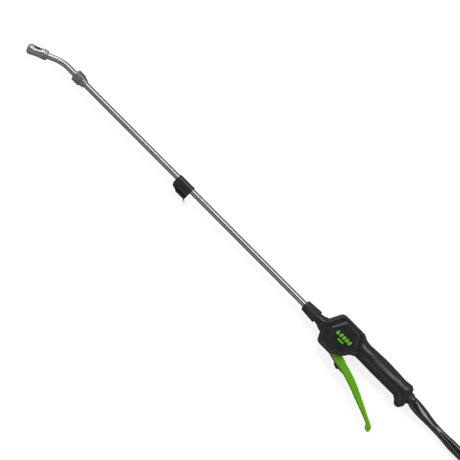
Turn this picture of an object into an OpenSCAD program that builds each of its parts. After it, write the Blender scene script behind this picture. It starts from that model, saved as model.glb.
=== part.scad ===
// Spray lance with a trigger gun, lying on its side: lance along X, nozzle at -X, trigger at -Y.
// All sizes are in millimetres. The origin is on the flat side cover that the gun rests on,
// straight below the lance axis.

/* [Lance] */
// Outside diameter of the lance tube
tube_od = 10; // [8:0.5:12]
// Wall thickness of the lance tube and of the neck
tube_wall = 1; // [0.8:0.1:1.5]
// Length of the straight lance tube, end to end
tube_length = 550; // [300:10:800]
// Angle between the neck's two straight ends
neck_angle = 23; // [10:1:40]
// Bend radius of the neck at its centre line
neck_radius = 60; // [40:5:80]
// Straight length of the neck between the union nut and the bend
neck_lead = 12; // [8:1:20]
// Straight length of the neck between the bend and the nozzle
neck_tail = 15; // [10:1:25]
// Size of the union nut across its flats
union_flats = 17.3; // [17:0.1:20]
// Length of the union nut
union_length = 20; // [18:1:24]

/* [Nozzle] */
// Length of the nozzle shroud
shroud_length = 29; // [26:1:36]
// Outside radius of the nozzle shroud at its waist
shroud_waist = 7.7; // [7.4:0.1:9]
// How much the shroud swells from its waist to its ends
shroud_swell = 0.6; // [0:0.1:1]
// Diameter of the spray orifice
orifice_d = 1.4; // [0.8:0.1:2]
// Length of an air window in the shroud
window_length = 9; // [6:0.5:11]
// Width of an air window in the shroud
window_width = 3.6; // [2.5:0.1:4.5]

/* [Parking clip] */
// Length of the parking clip along the tube
clip_length = 30; // [24:1:40]
// Distance from the gun's centre to the clip's middle
clip_distance = 339.5; // [150:5:400]
// Reach of the clip's wing from the tube axis
clip_reach = 18.2; // [16:0.1:24]
// Width of the clip's groove
clip_groove = 2.4; // [1.5:0.1:4]

/* [Lance nut] */
// Length of the ribbed lance nut
lance_nut_length = 27.8; // [24:0.2:34]
// Outside radius of the lance nut at its rear
lance_nut_r = 11.3; // [10.5:0.1:13]
// Number of flutes round the lance nut
flute_count = 10; // [6:1:14]

/* [Gun body] */
// Height of the lance axis above the side cover's outer face
axis_height = 20; // [19:0.5:24]
// Thickness of the two shells together
body_thickness = 37; // [36:0.5:38]
// Wall thickness of the shells
shell_wall = 2; // [1.8:0.1:2.6]
// Distance from the body's middle to its top or bottom flat
body_half_height = 30; // [30:0.5:34]
// Width of the chamfer round the body's side faces
body_chamfer = 3.5; // [2:0.5:5]
// Radius of the hexagonal side cover, centre to corner
cover_r = 26.5; // [24:0.5:27]
// Width of the cover's sloping edge
cover_bevel = 2.5; // [1:0.5:4]

/* [Grip] */
// Where the grip shells end and the butt cap begins
grip_end = 117; // [105:1:130]
// Width of the grip in the plane of the trigger
grip_width = 31.2; // [29:0.2:34]
// Thickness of the grip
grip_thickness = 28; // [26:0.5:30]
// Length of the butt cap
butt_length = 22; // [20:1:26]
// Outside diameter of the pipe in the grip
pipe_od = 12; // [10:0.5:13]
// Wall thickness of the pipe in the grip
pipe_wall = 2; // [1.5:0.1:2.5]

/* [Trigger] */
// Thickness of the trigger lever
lever_thickness = 13; // [11:0.5:14]
// Diameter of the trigger's pivot pin
pivot_d = 5; // [4:0.5:6]
// Width of the thumb latch
latch_width = 10; // [8:0.5:11]
// Number of grooves on the latch's thumb rest
latch_grooves = 4; // [2:1:5]

/* [Hose] */
// Outside diameter of the hose
hose_od = 16; // [14:0.5:16.5]
// Size of the hose end nut across its flats
end_nut_flats = 19; // [17:0.5:19.5]
// Diameter of the thread in the hose end nut
end_thread_d = 13; // [11:0.5:13.2]

/* [Hidden] */

$fn = 48;
run_gap = 0.05;   // radial clearance of a running fit
body_gap = 0.3;   // clearance between moving bodies
seat_gap = 0.05;  // clearance of a piece in its seat
eps = 0.01;
far = 200;

black = [0.13, 0.13, 0.13];
steel = [0.62, 0.61, 0.59];
brass = [0.72, 0.58, 0.30];
rubber = [0.08, 0.08, 0.08];
green = [0.36, 0.68, 0.02];

mid = axis_height;
half = body_thickness / 2;
tube_r = tube_od / 2;
bore_r = tube_r - tube_wall;

// ---- places along the lance, from the gun forwards ----
tube_rear = -20;
tube_front = tube_rear - tube_length;
ferrule_stop = 4;
ferrule_thread = 13;
ferrule_collar = 5;
ferrule_front = tube_front - ferrule_stop;
ferrule_rear = ferrule_front + ferrule_thread + ferrule_collar;
ferrule_r = tube_r + 2;
collar_r = tube_r + 1.4;
union_rear = ferrule_front + ferrule_thread;
union_front = union_rear - union_length;
union_lip = 3;
seal_thickness = 1.4;
neck_flange_end = ferrule_front - seal_thickness;
bend_start = union_front - neck_lead;
tail_dir = [-cos(neck_angle), -sin(neck_angle)];
bend_end = [bend_start - neck_radius * sin(neck_angle), -neck_radius * (1 - cos(neck_angle))];
nozzle_at = bend_end + neck_tail * tail_dir;

// ---- places along the nozzle, from its rear face outwards ----
socket_depth = 3;
stem_collar = 2.6;
stem_end = 8.7;
stem_r = 6;
core_r = 3;
shroud_start = stem_collar + body_gap;
shroud_end = shroud_start + shroud_length;
tip_start = stem_end + body_gap;
tip_end = tip_start + 1.5;
shoulder = tip_end + 0.1;
window_start = shoulder + 0.4;
throat_r = 4.2;
mouth_depth = 6;
mouth_r = 5.9;
swell_rate = shroud_swell / pow(shroud_length / 2 - 3.5, 2);
function shroud_r(s) = shroud_waist
  + swell_rate * pow(s - shroud_start - shroud_length * 0.4, 2);

// ---- places along the gun ----
stub_r = tube_r + 2;
stub_front = -64.5;
nut_rear = -50.7;
nut_front = nut_rear - lance_nut_length;
nut_lip = 4;
neck_start = nut_rear + body_gap;
snout_r = stub_r + 1.5;
snout_end = -30;
pipe_y = 12.5;
pipe_r = pipe_od / 2;

// ---- the gun body's outline ----
body_y = 3.5;
body_top = body_y + body_half_height;
body_bottom = body_y - body_half_height;
body_outline = [[-40, body_y], [-25, body_top], [21, body_top], [36, body_y],
                [14, body_bottom], [-25, body_bottom]];
body_rounding = [8, 9, 5, 3, 3, 8];
hand_cut = [[0.5, body_bottom - 1], [7, -19.5], [14, -18], [19.5, -13.5], [24, -6], [28, -3],
            [40, -2.6], [40, body_bottom - 20], [0.5, body_bottom - 20]];
cover_y = 5.5;
cover_depth = 1.5;

// ---- trigger ----
pivot = [-18, -18.8];
pivot_r = pivot_d / 2;
hub_r = pivot_r + 2.2;
lever_top = -14;
slot_half = lever_thickness / 2 + 0.5;
slot_front = -6;
latch_from = [6, -25];
latch_angle = -15.25;
latch_gap = 0.2;
key_width = 3.4;
key_depth = 2.4;

// ---- valve ----
valve_x = -4;
seat_y = 8.4;
chamber_r = 6;
chamber_top = 17.2;
valve_top = 22;
block_front = -14;
block_bottom = -8.5;
block_half = 10;
rod_r = 1.75;
plunger_bore_r = 2.6;
outlet_r = 3.2;
inlet_r = pipe_r - pipe_wall;
block_rear = 16;
spring_wire = 0.5;
spring_r = 3.6;
spring_turns = 5;
spring_steps = 14;

// ---- screws ----
screw_spots = [[-27, 20], [14, 26], [-25, -12], [62, 23.5], [grip_end - 22, 2.8]];
pin_reach = 14;
screw_seat = 8;
screw_r = 1.4;
head_r = 2.8;
head_height = 2.2;
boss_r = 3.6;

// ---- hose ----
hose_r = hose_od / 2;
hose_floor = hose_r + 0.1;
hose_start = grip_end + 4;
gland_end = grip_end + butt_length + 2;
// Points of the hose from inside the butt cap to the coil
hose_route = [[121, 12.5, 20], [141, 12.5, 20], [154, 11, 19.4], [174, 9.6, 16.8],
              [194, 8.2, 12.6], [214, 7.6, 9.4], [234, 7.1, 8.2], [264, 7, 8.1],
              [300, 7, 8.1], [350, 7, 8.1]];
coil_outer = 96.5;
coil_inner = 79.5;
coil_top_r = (coil_outer + coil_inner) / 2;
coil_at = [350, 7 - coil_outer];
coil_top_z = 22.2;
coil_end_angle = -30;
coil_top_span = 210;
end_tilt = 12;
sleeve_length = 18;
end_collar = 3;
end_nut_length = 15;
end_stem_r = 5;
end_thread_r = end_thread_d / 2;

// ---- shapes that repeat ----

// A polygon whose corner i is rounded with radius rounding[i], each arc in a few steps
function unit(v) = v / norm(v);
function corner_arc(a, b, c, r) =
  let (u = unit(a - b), w = unit(c - b),
       half_angle = acos(min(1, max(-1, u * w))) / 2,
       reach = r / tan(half_angle),
       centre = b + unit(u + w) * (r / sin(half_angle)),
       from = b + u * reach - centre,
       to = b + w * reach - centre,
       start = atan2(from.y, from.x),
       turn_raw = atan2(to.y, to.x) - start,
       turn = turn_raw > 180 ? turn_raw - 360 : turn_raw < -180 ? turn_raw + 360 : turn_raw,
       steps = 6)
  [for (i = [0:steps]) centre + r * [cos(start + turn * i / steps), sin(start + turn * i / steps)]];
function rounded(points, radii) =
  let (n = len(points))
  [for (i = [0:n - 1])
    each (radii[i] > 0
      ? corner_arc(points[(i + n - 1) % n], points[i], points[(i + 1) % n], radii[i])
      : [points[i]])];

// A turned solid about the X axis from [radius, x] points
module turned(profile) {
  rotate([0, 90, 0]) rotate_extrude() polygon(profile);
}

// A cylinder along X from x0 to x1
module rod(x0, x1, r) {
  translate([x0, 0, 0]) rotate([0, 90, 0]) cylinder(h = x1 - x0, r = r);
}

// A tube along X from x0 to x1
module pipe(x0, x1, r_out, r_in) {
  difference() {
    rod(x0, x1, r_out);
    rod(x0 - 1, x1 + 1, r_in);
  }
}

// A cylinder along Y from y0 to y1
module post(y0, y1, r) {
  translate([0, y0, 0]) rotate([-90, 0, 0]) cylinder(h = y1 - y0, r = r);
}

// A hexagonal bar along X with two of its flats facing up and down
module hex_bar(x0, x1, flats) {
  translate([x0, 0, 0]) rotate([0, 90, 0]) rotate([0, 0, 30])
    cylinder(h = x1 - x0, r = flats / sqrt(3), $fn = 6);
}

// An O-ring about the X axis
module ring_x(x, ring_r, wire_r) {
  translate([x, 0, 0]) rotate([0, 90, 0]) rotate_extrude()
    translate([ring_r, 0]) circle(r = wire_r, $fn = 20);
}

module on_axis() { translate([0, 0, mid]) children(); }
module at_nozzle() {
  translate([nozzle_at.x, nozzle_at.y, mid]) rotate([0, 0, 180 + neck_angle]) children();
}
module at_valve() { translate([valve_x, 0, mid]) children(); }
module at_pipe() { translate([0, pipe_y, mid]) children(); }
// Frame of the latch: X along the lever's front face, Y outwards from it reversed
module on_latch() {
  translate([latch_from.x, latch_from.y, mid]) rotate([0, 0, latch_angle]) children();
}
// Frame of the hose's end fitting, X along its axis
module at_hose_end() {
  translate([coil_at.x + coil_top_r * cos(coil_end_angle),
             coil_at.y + coil_top_r * sin(coil_end_angle), coil_top_z])
    rotate([0, 0, coil_end_angle - 90]) rotate([0, -end_tilt, 0]) children();
}

// A solid swept through points: each ring has the given sides, and its ends are closed
function ring_at(points, i, r, sides) =
  let (n = len(points),
       along = unit(points[min(n - 1, i + 1)] - points[max(0, i - 1)]),
       side = unit(cross([0, 0, 1], along)),
       up = cross(along, side))
  [for (k = [0:sides - 1])
    points[i] + r * (cos(360 * k / sides) * side + sin(360 * k / sides) * up)];
module swept(points, r, sides) {
  n = len(points);
  corners = [for (i = [0:n - 1]) each ring_at(points, i, r, sides)];
  walls = [for (i = [0:n - 2], k = [0:sides - 1])
    let (a = i * sides + k, b = i * sides + (k + 1) % sides)
    each [[a, a + sides, b], [b, a + sides, b + sides]]];
  first_cap = [[for (k = [0:sides - 1]) k]];
  last_cap = [[for (k = [sides - 1:-1:0]) (n - 1) * sides + k]];
  polyhedron(points = corners, faces = concat(walls, first_cap, last_cap));
}

// ---- nozzle ----

module nozzle_shroud() {
  chamfer_from = shroud_end - 5;
  outside = [for (i = [0:12])
    let (s = shroud_start + (chamfer_from - shroud_start) * i / 12) [shroud_r(s), s]];
  color(steel) at_nozzle() difference() {
    turned(concat([[stem_r + run_gap, shroud_start]], outside,
      [[shroud_r(chamfer_from) - 0.6, chamfer_from + 2], [mouth_r + 0.9, shroud_end - 0.8],
       [mouth_r + 0.3, shroud_end], [mouth_r, shroud_end], [throat_r, shroud_end - mouth_depth],
       [throat_r, shoulder], [stem_r + run_gap, shoulder]]));
    for (turn = [0, 180])
      rotate([45 + turn, 0, 0]) translate([window_start, -window_width / 2, 0])
        cube([window_length, window_width, 2 * shroud_waist]);
  }
}

module nozzle_tip() {
  boss_end = tip_end + 2.2;
  color(brass) at_nozzle()
    turned([[orifice_d / 2, tip_start], [stem_r, tip_start], [stem_r, tip_end],
            [2.4, tip_end], [1.8, boss_end], [orifice_d / 2, boss_end]]);
}

oring_at = 5.8;
module nozzle_stem() {
  groove_floor = stem_r - 1.6;
  groove = [oring_at - 1, oring_at + 1];
  color(steel) at_nozzle()
    turned([[tube_r + seat_gap, 0], [6.2, 0], [shroud_r(shroud_start), 1.4],
            [shroud_r(shroud_start), stem_collar], [stem_r, stem_collar], [stem_r, groove[0]],
            [groove_floor, groove[0]], [groove_floor, groove[1]], [stem_r, groove[1]],
            [stem_r, stem_end], [core_r, stem_end], [core_r, socket_depth],
            [tube_r + seat_gap, socket_depth]]);
}

module nozzle_oring() { color(rubber) at_nozzle() ring_x(oring_at, stem_r - 0.8, 0.75); }

module swirl_core() {
  color(brass) at_nozzle() difference() {
    rod(socket_depth + 0.4, stem_end - 0.2, core_r - seat_gap);
    for (turn = [0, 180]) rotate([turn, 0, 0])
      translate([socket_depth, core_r - 1, -0.6]) cube([stem_end, 2, 1.2]);
  }
}

// Points along the neck's centre line, run on past both ends by over
bend_steps = 8;
function neck_line(over) = concat(
  [[neck_flange_end + over, 0, mid]],
  [for (i = [0:bend_steps]) let (a = neck_angle * i / bend_steps)
    [bend_start - neck_radius * sin(a), -neck_radius * (1 - cos(a)), mid]],
  [let (tip = bend_end + (neck_tail + socket_depth - seat_gap + over) * tail_dir) [tip.x, tip.y, mid]]);
module neck_tube() {
  color(steel) difference() {
    union() {
      swept(neck_line(0), tube_r, 24);
      on_axis() rod(union_front + union_lip + seat_gap, neck_flange_end, ferrule_r - 0.1);
    }
    swept(neck_line(1), bore_r, 24);
  }
}

module union_nut() {
  cone = 4.5;
  corner_r = union_flats / sqrt(3);
  color(steel) on_axis() difference() {
    intersection() {
      hex_bar(union_front, union_rear, union_flats);
      turned([[0, union_front], [tube_r + 0.8, union_front], [corner_r, union_front + cone],
              [corner_r, union_rear - 2], [ferrule_r + 0.8, union_rear], [0, union_rear]]);
    }
    rod(union_front - 1, union_rear + 1, tube_r + seat_gap);
    rod(union_front + union_lip, union_rear + 1, ferrule_r + seat_gap);
  }
}

module neck_seal() {
  color(rubber) on_axis()
    pipe(neck_flange_end + eps, ferrule_front - eps, ferrule_r - 0.3, bore_r);
}

module tube_ferrule() {
  bevel = 0.5;
  waist_r = collar_r - bevel;
  color(steel) on_axis()
    turned([[bore_r, ferrule_front], [ferrule_r, ferrule_front],
            [ferrule_r, union_rear + eps], [waist_r, union_rear + eps],
            [collar_r, union_rear + bevel], [collar_r, ferrule_rear - 1.4],
            [waist_r, ferrule_rear - 1.1], [waist_r, ferrule_rear - 0.8],
            [collar_r - 0.1, ferrule_rear - 0.6], [waist_r, ferrule_rear],
            [tube_r + seat_gap, ferrule_rear], [tube_r + seat_gap, tube_front - eps],
            [bore_r, tube_front - eps]]);
}

module lance_tube() { color(steel) on_axis() pipe(tube_front, tube_rear, tube_r, bore_r); }

module parking_clip() {
  x0 = -clip_distance - clip_length / 2;
  x1 = x0 + clip_length;
  ring_r = tube_r + 1.6;
  lip = 3.2;
  plan = [[x0, 0], [x0 - 0.8, -clip_reach / 2], [x0 + 2, -clip_reach + 4],
          [x0 + 8.5, -clip_reach + 2], [x0 + 12.5, -clip_reach], [x1, -clip_reach], [x1, 0]];
  color(black) on_axis() difference() {
    union() {
      rod(x0, x1, ring_r);
      translate([0, 0, -6]) linear_extrude(12) polygon(plan);
    }
    rod(x0 - 5, x1 + 5, tube_r + run_gap);
    translate([x0 + 8.5, -clip_reach + lip, -2]) cube([clip_length, clip_groove, 20]);
  }
}

// ---- lance nut and its seal ----

module lance_nut() {
  color(black) on_axis() difference() {
    turned([[tube_r + body_gap, nut_front], [tube_r + 1.4, nut_front],
            [lance_nut_r - 3, nut_front + 1.2], [lance_nut_r - 1.9, nut_front + 3.2],
            [lance_nut_r, nut_rear - 0.6], [lance_nut_r - 0.5, nut_rear],
            [stub_r + run_gap, nut_rear], [stub_r + run_gap, nut_front + nut_lip],
            [tube_r + body_gap, nut_front + nut_lip]]);
    for (i = [0:flute_count - 1])
      rotate([360 * (i + 0.5) / flute_count, 0, 0])
        translate([nut_front + 5, 0, lance_nut_r + 0.9])
          rotate([0, 90, 0]) cylinder(h = lance_nut_length, r = 1.9);
  }
}

module lance_collet() {
  color(black) on_axis() difference() {
    pipe(nut_front + nut_lip + body_gap, stub_front - 3.6, stub_r - body_gap, tube_r + seat_gap);
    translate([nut_front, -0.5, 0]) cube([lance_nut_length, 1, far]);
  }
}

module lance_oring() { color(rubber) on_axis() ring_x(stub_front - 1.8, tube_r + 1, 0.95); }

// ---- gun shells ----

function outline(inset) = [for (p = body_outline)
  [p.x + (p.x > 0 ? -inset : inset) * (abs(p.y - body_y) < 1 ? 1.15 : 0.6),
   p.y + (abs(p.y - body_y) < 1 ? 0 : p.y > body_y ? -inset : inset)]];
module body_slab(inset, z0, z1) {
  translate([0, 0, z0]) linear_extrude(z1 - z0)
    polygon(rounded(outline(inset), [for (r = body_rounding) max(1, r - inset / 2)]));
}
// Both halves of the body's outside, with sloping rims
module body_outside() {
  hull() {
    body_slab(0, -half + body_chamfer, half - body_chamfer);
    body_slab(body_chamfer, -half, half);
  }
}
// The grip's section at x, as a thin plate
module grip_plate(x, y, width, thickness) {
  translate([x, y, 0]) rotate([0, 90, 0]) linear_extrude(0.2)
    scale([thickness / grip_width, width / grip_width]) circle(d = grip_width, $fn = 40);
}
module grip_outside(inset, x_end) {
  slim = 2 * inset;
  hull() {
    grip_plate(20 + inset, 13.8, grip_width + 3 - slim, grip_thickness + 2 - slim);
    grip_plate(32, 13.8, grip_width - 0.8 - slim, grip_thickness - slim);
    grip_plate(72, 13.7, grip_width - slim, grip_thickness - slim);
    grip_plate(x_end - 0.2, 13.1, grip_width - 1.4 - slim, grip_thickness - slim);
  }
}
module snout_outside() {
  turned([[0, neck_start], [snout_r, neck_start], [snout_r, neck_start + 4.4],
          [snout_r + 0.7, neck_start + 5.4], [snout_r + 0.7, neck_start + 6.6],
          [snout_r + 0.3, neck_start + 6.8], [snout_r + 0.3, neck_start + 7.6],
          [snout_r + 1.5, neck_start + 8], [12.3, neck_start + 15.6],
          [12.5, snout_end], [0, snout_end]]);
}
module gun_outside() {
  difference() {
    union() {
      body_outside();
      grip_outside(0, grip_end);
    }
    translate([0, 0, -far / 2]) linear_extrude(far) polygon(rounded(hand_cut, [0, 2, 3, 3, 0, 4, 0, 0, 0]));
  }
  snout_outside();
}
module gun_inside() {
  rim = 3.6;
  hull() {
    body_slab(shell_wall, -half + body_chamfer + rim, half - body_chamfer - rim);
    body_slab(shell_wall + body_chamfer, -half + rim, half - rim);
  }
  grip_outside(shell_wall, grip_end + 1);
}
function cover_outline(r) = [for (p = [[-1, 0], [-0.57, 1], [0.5, 1], [1, 0], [0.5, -1], [-0.57, -1]])
  [r * p.x, cover_y + r * 0.866 * p.y]];
module cover_slab(r, z0, z1) {
  translate([0, 0, z0]) linear_extrude(z1 - z0) polygon(rounded(cover_outline(r), [3, 3, 3, 3, 3, 3]));
}
peg_spots = [[-14, cover_y], [14, cover_y]];
peg_r = 2;

// One half of the gun's case; side is 1 for the upper half and -1 for the lower
module shell(side) {
  screw_down = side < 0;
  on_axis() difference() {
    intersection() {
      gun_outside();
      translate([-far, -far, side > 0 ? 0 : -far]) cube([2 * far, 2 * far, far]);
    }
    difference() {
      gun_inside();
      // bosses for the screws, bosses for the pivot pin, and two saddles for the valve
      for (p = screw_spots) translate([p.x, p.y, -far / 2]) cylinder(h = far, r = boss_r);
      for (s = [1, -1]) translate([pivot.x, pivot.y, s > 0 ? slot_half + 0.1 : -far])
        cylinder(h = far - slot_half - 0.1, r = hub_r);
      for (x = [-12, block_rear - 4]) translate([x, 4, -far / 2]) cube([2, far, far]);
      for (x = [45, 85]) translate([x, -20, -far / 2]) cube([2, far, far]);
      for (s = [1, -1]) mirror([0, 0, s > 0 ? 0 : 1])
        translate([-far, -far, block_half + seat_gap + 2]) cube([2 * far, 2 * far, far]);
    }
    // room for the valve, the stub and the pipe
    translate([block_front - seat_gap, block_bottom - seat_gap, -block_half - seat_gap])
      cube([block_rear - block_front + 2 * seat_gap, valve_top - block_bottom + 2 * seat_gap,
            2 * block_half + 2 * seat_gap]);
    translate([valve_x, valve_top, 0]) post(-1, cap_seal + cap_head + 0.6, chamber_r + 1.2);
    rod(neck_start - 1, 0, stub_r + seat_gap);
    translate([0, pipe_y, 0]) rod(0, far, pipe_r + seat_gap);
    // the trigger's slot, and its pivot
    translate([slot_front, -far, -slot_half]) cube([36 - slot_front, far - 4.5, 2 * slot_half]);
    translate([pivot.x - hub_r - 0.6, pivot.y - hub_r - 0.5, -slot_half])
      cube([36, 2 * hub_r + 1, 2 * slot_half]);
    translate([pivot.x, pivot.y, -pin_reach]) cylinder(h = 2 * pin_reach, r = pivot_r);
    // the cover's seat and its peg holes
    cover_seat(side);
    // screws
    for (p = screw_spots) translate([p.x, p.y, 0]) {
      if (screw_down) {
        translate([0, 0, -far]) cylinder(h = far - screw_seat, r = head_r + 0.3);
        translate([0, 0, -screw_seat - 1]) cylinder(h = screw_seat + 2, r = screw_r + 0.2);
      } else {
        translate([0, 0, -1]) cylinder(h = screw_seat + 1.5, r = screw_r);
      }
    }
  }
}
module cover_seat(side) {
  z0 = side > 0 ? half - cover_depth : -half - 1;
  cover_slab(cover_r + seat_gap, z0, z0 + cover_depth + 1);
  for (p = peg_spots)
    translate([p.x, p.y, side > 0 ? half - cover_depth - 2.4 : -half + cover_depth - 1])
      cylinder(h = 3.4, r = peg_r + seat_gap);
}
module shell_upper() { color(black) shell(1); }
module shell_lower() { color(black) shell(-1); }

// A hexagonal side cover; side is 1 for the upper one and -1 for the lower
module side_cover(side) {
  inner = half - cover_depth;
  on_axis() mirror([0, 0, side > 0 ? 0 : 1]) {
    hull() {
      cover_slab(cover_r, inner, inner + cover_depth);
      cover_slab(cover_r - cover_bevel, inner, axis_height);
    }
    for (p = peg_spots) translate([p.x, p.y, inner - 2]) cylinder(h = 2 + eps, r = peg_r);
  }
}
module side_cover_upper() { color(black) side_cover(1); }
module side_cover_lower() { color(black) side_cover(-1); }

module shell_screws() {
  color(steel) on_axis() for (p = screw_spots) translate([p.x, p.y, -screw_seat]) {
    cylinder(h = 2 * screw_seat, r = screw_r);
    difference() {
      translate([0, 0, -head_height]) cylinder(h = head_height, r = head_r);
      for (turn = [0, 90]) rotate([0, 0, turn])
        translate([-1.7, -0.3, -head_height - 1]) cube([3.4, 0.6, 2]);
    }
  }
}

// ---- valve ----

module valve_body() {
  color(brass) difference() {
    on_axis() {
      translate([block_front, block_bottom, -block_half])
        cube([16, valve_top - block_bottom, 2 * block_half]);
      translate([0, 4, -block_half]) cube([block_rear, valve_top - 4, 2 * block_half]);
      rod(stub_front, block_front + 1, stub_r);
    }
    on_axis() {
      rod(stub_front - 1, tube_rear + 0.5, tube_r + run_gap);
      rod(tube_rear, valve_x, outlet_r);
    }
    at_valve() {
      post(block_bottom - 1, 0, rod_r + run_gap);
      post(block_bottom - 1, block_bottom + 2, rod_r + 1.6);
      post(0, seat_y + 1, plunger_bore_r);
      post(seat_y, valve_top + 1, chamber_r);
    }
    at_pipe() {
      rod(valve_x + 4, block_rear + 1, inlet_r);
      rod(block_rear - 5, block_rear + 1, pipe_r + seat_gap);
    }
  }
}

cap_seal = 0.6;
cap_head = 3.4;
module valve_cap() {
  color(brass) at_valve() difference() {
    union() {
      post(chamber_top, valve_top + cap_seal + eps, chamber_r - seat_gap);
      translate([0, valve_top + cap_seal, 0]) rotate([-90, 0, 0])
        cylinder(h = cap_head, r = chamber_r + 1, $fn = 6);
    }
    post(chamber_top - 1, valve_top, spring_r + spring_wire + 0.4);
  }
}

module valve_cap_seal() {
  color(rubber) at_valve() difference() {
    post(valve_top + eps, valve_top + cap_seal - eps, chamber_r + 0.9);
    post(valve_top - 1, valve_top + 2, chamber_r);
  }
}

module valve_stem() {
  tip = lever_top + 0.2;
  color(brass) at_valve() {
    post(tip + 1.2, seat_y + 2.4, rod_r);
    translate([0, tip, 0]) rotate([-90, 0, 0]) rotate_extrude()
      polygon([[0, 0], [0.6, 0], [rod_r, 1.2], [rod_r, 1.3], [0, 1.3]]);
    post(seat_y + 1.2, seat_y + 2.8, 4.6);
    post(seat_y + 2.7, seat_y + 5, 2.6);
  }
}

module valve_seat_ring() {
  color(rubber) at_valve() difference() {
    post(seat_y + 0.04, seat_y + 1.2 - eps, 4.4);
    post(seat_y - 1, seat_y + 2, rod_r + seat_gap);
  }
}

module valve_spring() {
  low = seat_y + 2.8 + spring_wire + 0.1;
  high = valve_top - spring_wire - 0.1;
  n = spring_turns * spring_steps;
  helix = [for (i = [0:n]) let (turn = 360 * i / spring_steps)
    [spring_r * cos(turn), -spring_r * sin(turn), low + (high - low) * i / n]];
  color(steel) at_valve() rotate([-90, 0, 0]) swept(helix, spring_wire, 8);
}

module stem_seal() {
  color(rubber) at_valve() difference() {
    post(block_bottom + 0.2, block_bottom + 1.9, rod_r + 1.5);
    post(block_bottom - 1, block_bottom + 3, rod_r + run_gap);
  }
}

// ---- trigger ----

lever_outline = [[pivot.x, lever_top], [4, lever_top], [18, -15.2], [44, -22.5], [64, -29.5],
  [119, -56.2], [129, -63], [128.6, -70.6], [121, -69.6], [117, -62.2], [64, -42], [39, -34],
  latch_from, [-9, -20.9], [pivot.x + 3, pivot.y - hub_r + 1], [pivot.x, pivot.y - hub_r]];
lever_rounding = [0, 10, 20, 30, 40, 12, 4, 1, 2, 5, 60, 60, 0, 0, 0, 0];

module trigger_lever() {
  color(green) on_axis() difference() {
    union() {
      translate([0, 0, -lever_thickness / 2]) linear_extrude(lever_thickness)
        polygon(rounded(lever_outline, lever_rounding));
      translate([pivot.x, pivot.y, -lever_thickness / 2]) cylinder(h = lever_thickness, r = hub_r);
    }
    translate([pivot.x, pivot.y, -far / 2]) cylinder(h = far, r = pivot_r + run_gap);
    translate([0, 0, -mid]) on_latch() translate([-10, -0.5, -key_width / 2 - body_gap])
      cube([29, key_depth + body_gap + 0.5, key_width + 2 * body_gap]);
  }
}

module trigger_pin() {
  color(steel) translate([pivot.x, pivot.y, mid - pin_reach])
    cylinder(h = 2 * pin_reach, r = pivot_r);
}

module trigger_latch() {
  side_view = [[-7, -latch_gap], [-7, -2.2], [-3, -3], [12.5, -2.5], [13.5, -4.6], [22.3, -5.1],
               [23.6, -2.4], [33, -0.7], [33, -latch_gap]];
  color(black) on_latch() {
    difference() {
      translate([0, 0, -latch_width / 2]) linear_extrude(latch_width)
        polygon(rounded(side_view, [0, 1, 1, 0.5, 1, 1, 0.5, 0, 0]));
      for (i = [0:latch_grooves - 1])
        translate([14.6 + i * 6.6 / max(1, latch_grooves - 1), -5.2 + 0.06 * (latch_grooves - i), -far / 2])
          cylinder(h = far, r = 0.55);
    }
    translate([-3, -latch_gap - eps, -key_width / 2]) cube([19, key_depth, key_width]);
  }
}

// ---- grip and butt ----

module grip_pipe() {
  color(steel) at_pipe() pipe(block_rear - 5 + seat_gap, grip_end - 14, pipe_r, inlet_r);
}

module inlet_filter() {
  color(brass) at_pipe() difference() {
    rod(grip_end - 40, grip_end - 22, inlet_r - 0.3);
    rod(grip_end - 39, grip_end, inlet_r - 1.1);
    for (x = [0:3], turn = [0, 90])
      rotate([turn, 0, 0]) translate([grip_end - 36.5 + 3 * x, -0.8, -inlet_r]) cube([1.4, 1.6, 2 * inlet_r]);
  }
}

module hose_tail() {
  barb = 2.5;
  barb_r = 4.6;
  color(brass) at_pipe() difference() {
    union() {
      hex_bar(grip_end - 14 + eps, grip_end - 7, pipe_od + 4);
      rod(grip_end - 20, grip_end - 13, inlet_r - seat_gap);
      rod(grip_end - 8, grip_end + 16, barb_r - 0.8);
      for (i = [0:3])
        turned([[0, hose_start + barb * i], [barb_r, hose_start + barb * i],
                [barb_r - 0.7, hose_start + barb * (i + 1)], [0, hose_start + barb * (i + 1)]]);
    }
    rod(grip_end - 21, grip_end + 17, 2.4);
  }
}

module hose_clamp() {
  color(steel) at_pipe() {
    pipe(hose_start + 3, hose_start + 10, hose_r + 1, hose_r + seat_gap);
    difference() {
      translate([hose_start + 3.6, -2.6, hose_r + 0.6]) cube([5.8, 5.2, 1.3]);
      translate([hose_start + 4.4, -4, hose_r + 1.1]) cube([1, 8, 2]);
    }
  }
}

butt_back = grip_end + butt_length;
butt_outline = [[grip_end, 28], [grip_end + 11, 29.6], [grip_end + 15.5, 27.8],
  [grip_end + 18.5, 22], [butt_back, 0], [butt_back - 0.2, -4], [butt_back - 5.5, -11.2],
  [butt_back - 10.4, -11.7], [grip_end + 8.4, -9.4], [grip_end, -1.8]];
butt_rounding = [0.5, 5, 3, 6, 8, 5, 3, 2, 0.5, 0.5];
module butt_slab(shrink, z) {
  translate([grip_end + 10, 11, -z]) linear_extrude(2 * z) scale([shrink, shrink])
    translate([-grip_end - 10, -11]) polygon(rounded(butt_outline, butt_rounding));
}
module butt_cap() {
  lip = 6;
  color(black) on_axis() difference() {
    hull() {
      butt_slab(1, grip_thickness / 2 - 3.5);
      butt_slab(0.93, grip_thickness / 2 - 1.2);
      butt_slab(0.8, grip_thickness / 2 + 0.4);
    }
    translate([-far, -far, -far]) cube([far + grip_end, 2 * far, 2 * far]);
    translate([grip_end - 0.5, -11.2, -far / 2]) cylinder(h = far, r = 9.2, $fn = 64);
    translate([grip_end - 1, pipe_y, 0]) rod(0, lip + 12, hose_r + 2.4);
    translate([0, pipe_y, 0]) rod(grip_end, far, hose_r + 1.5 + seat_gap);
  }
}

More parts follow.
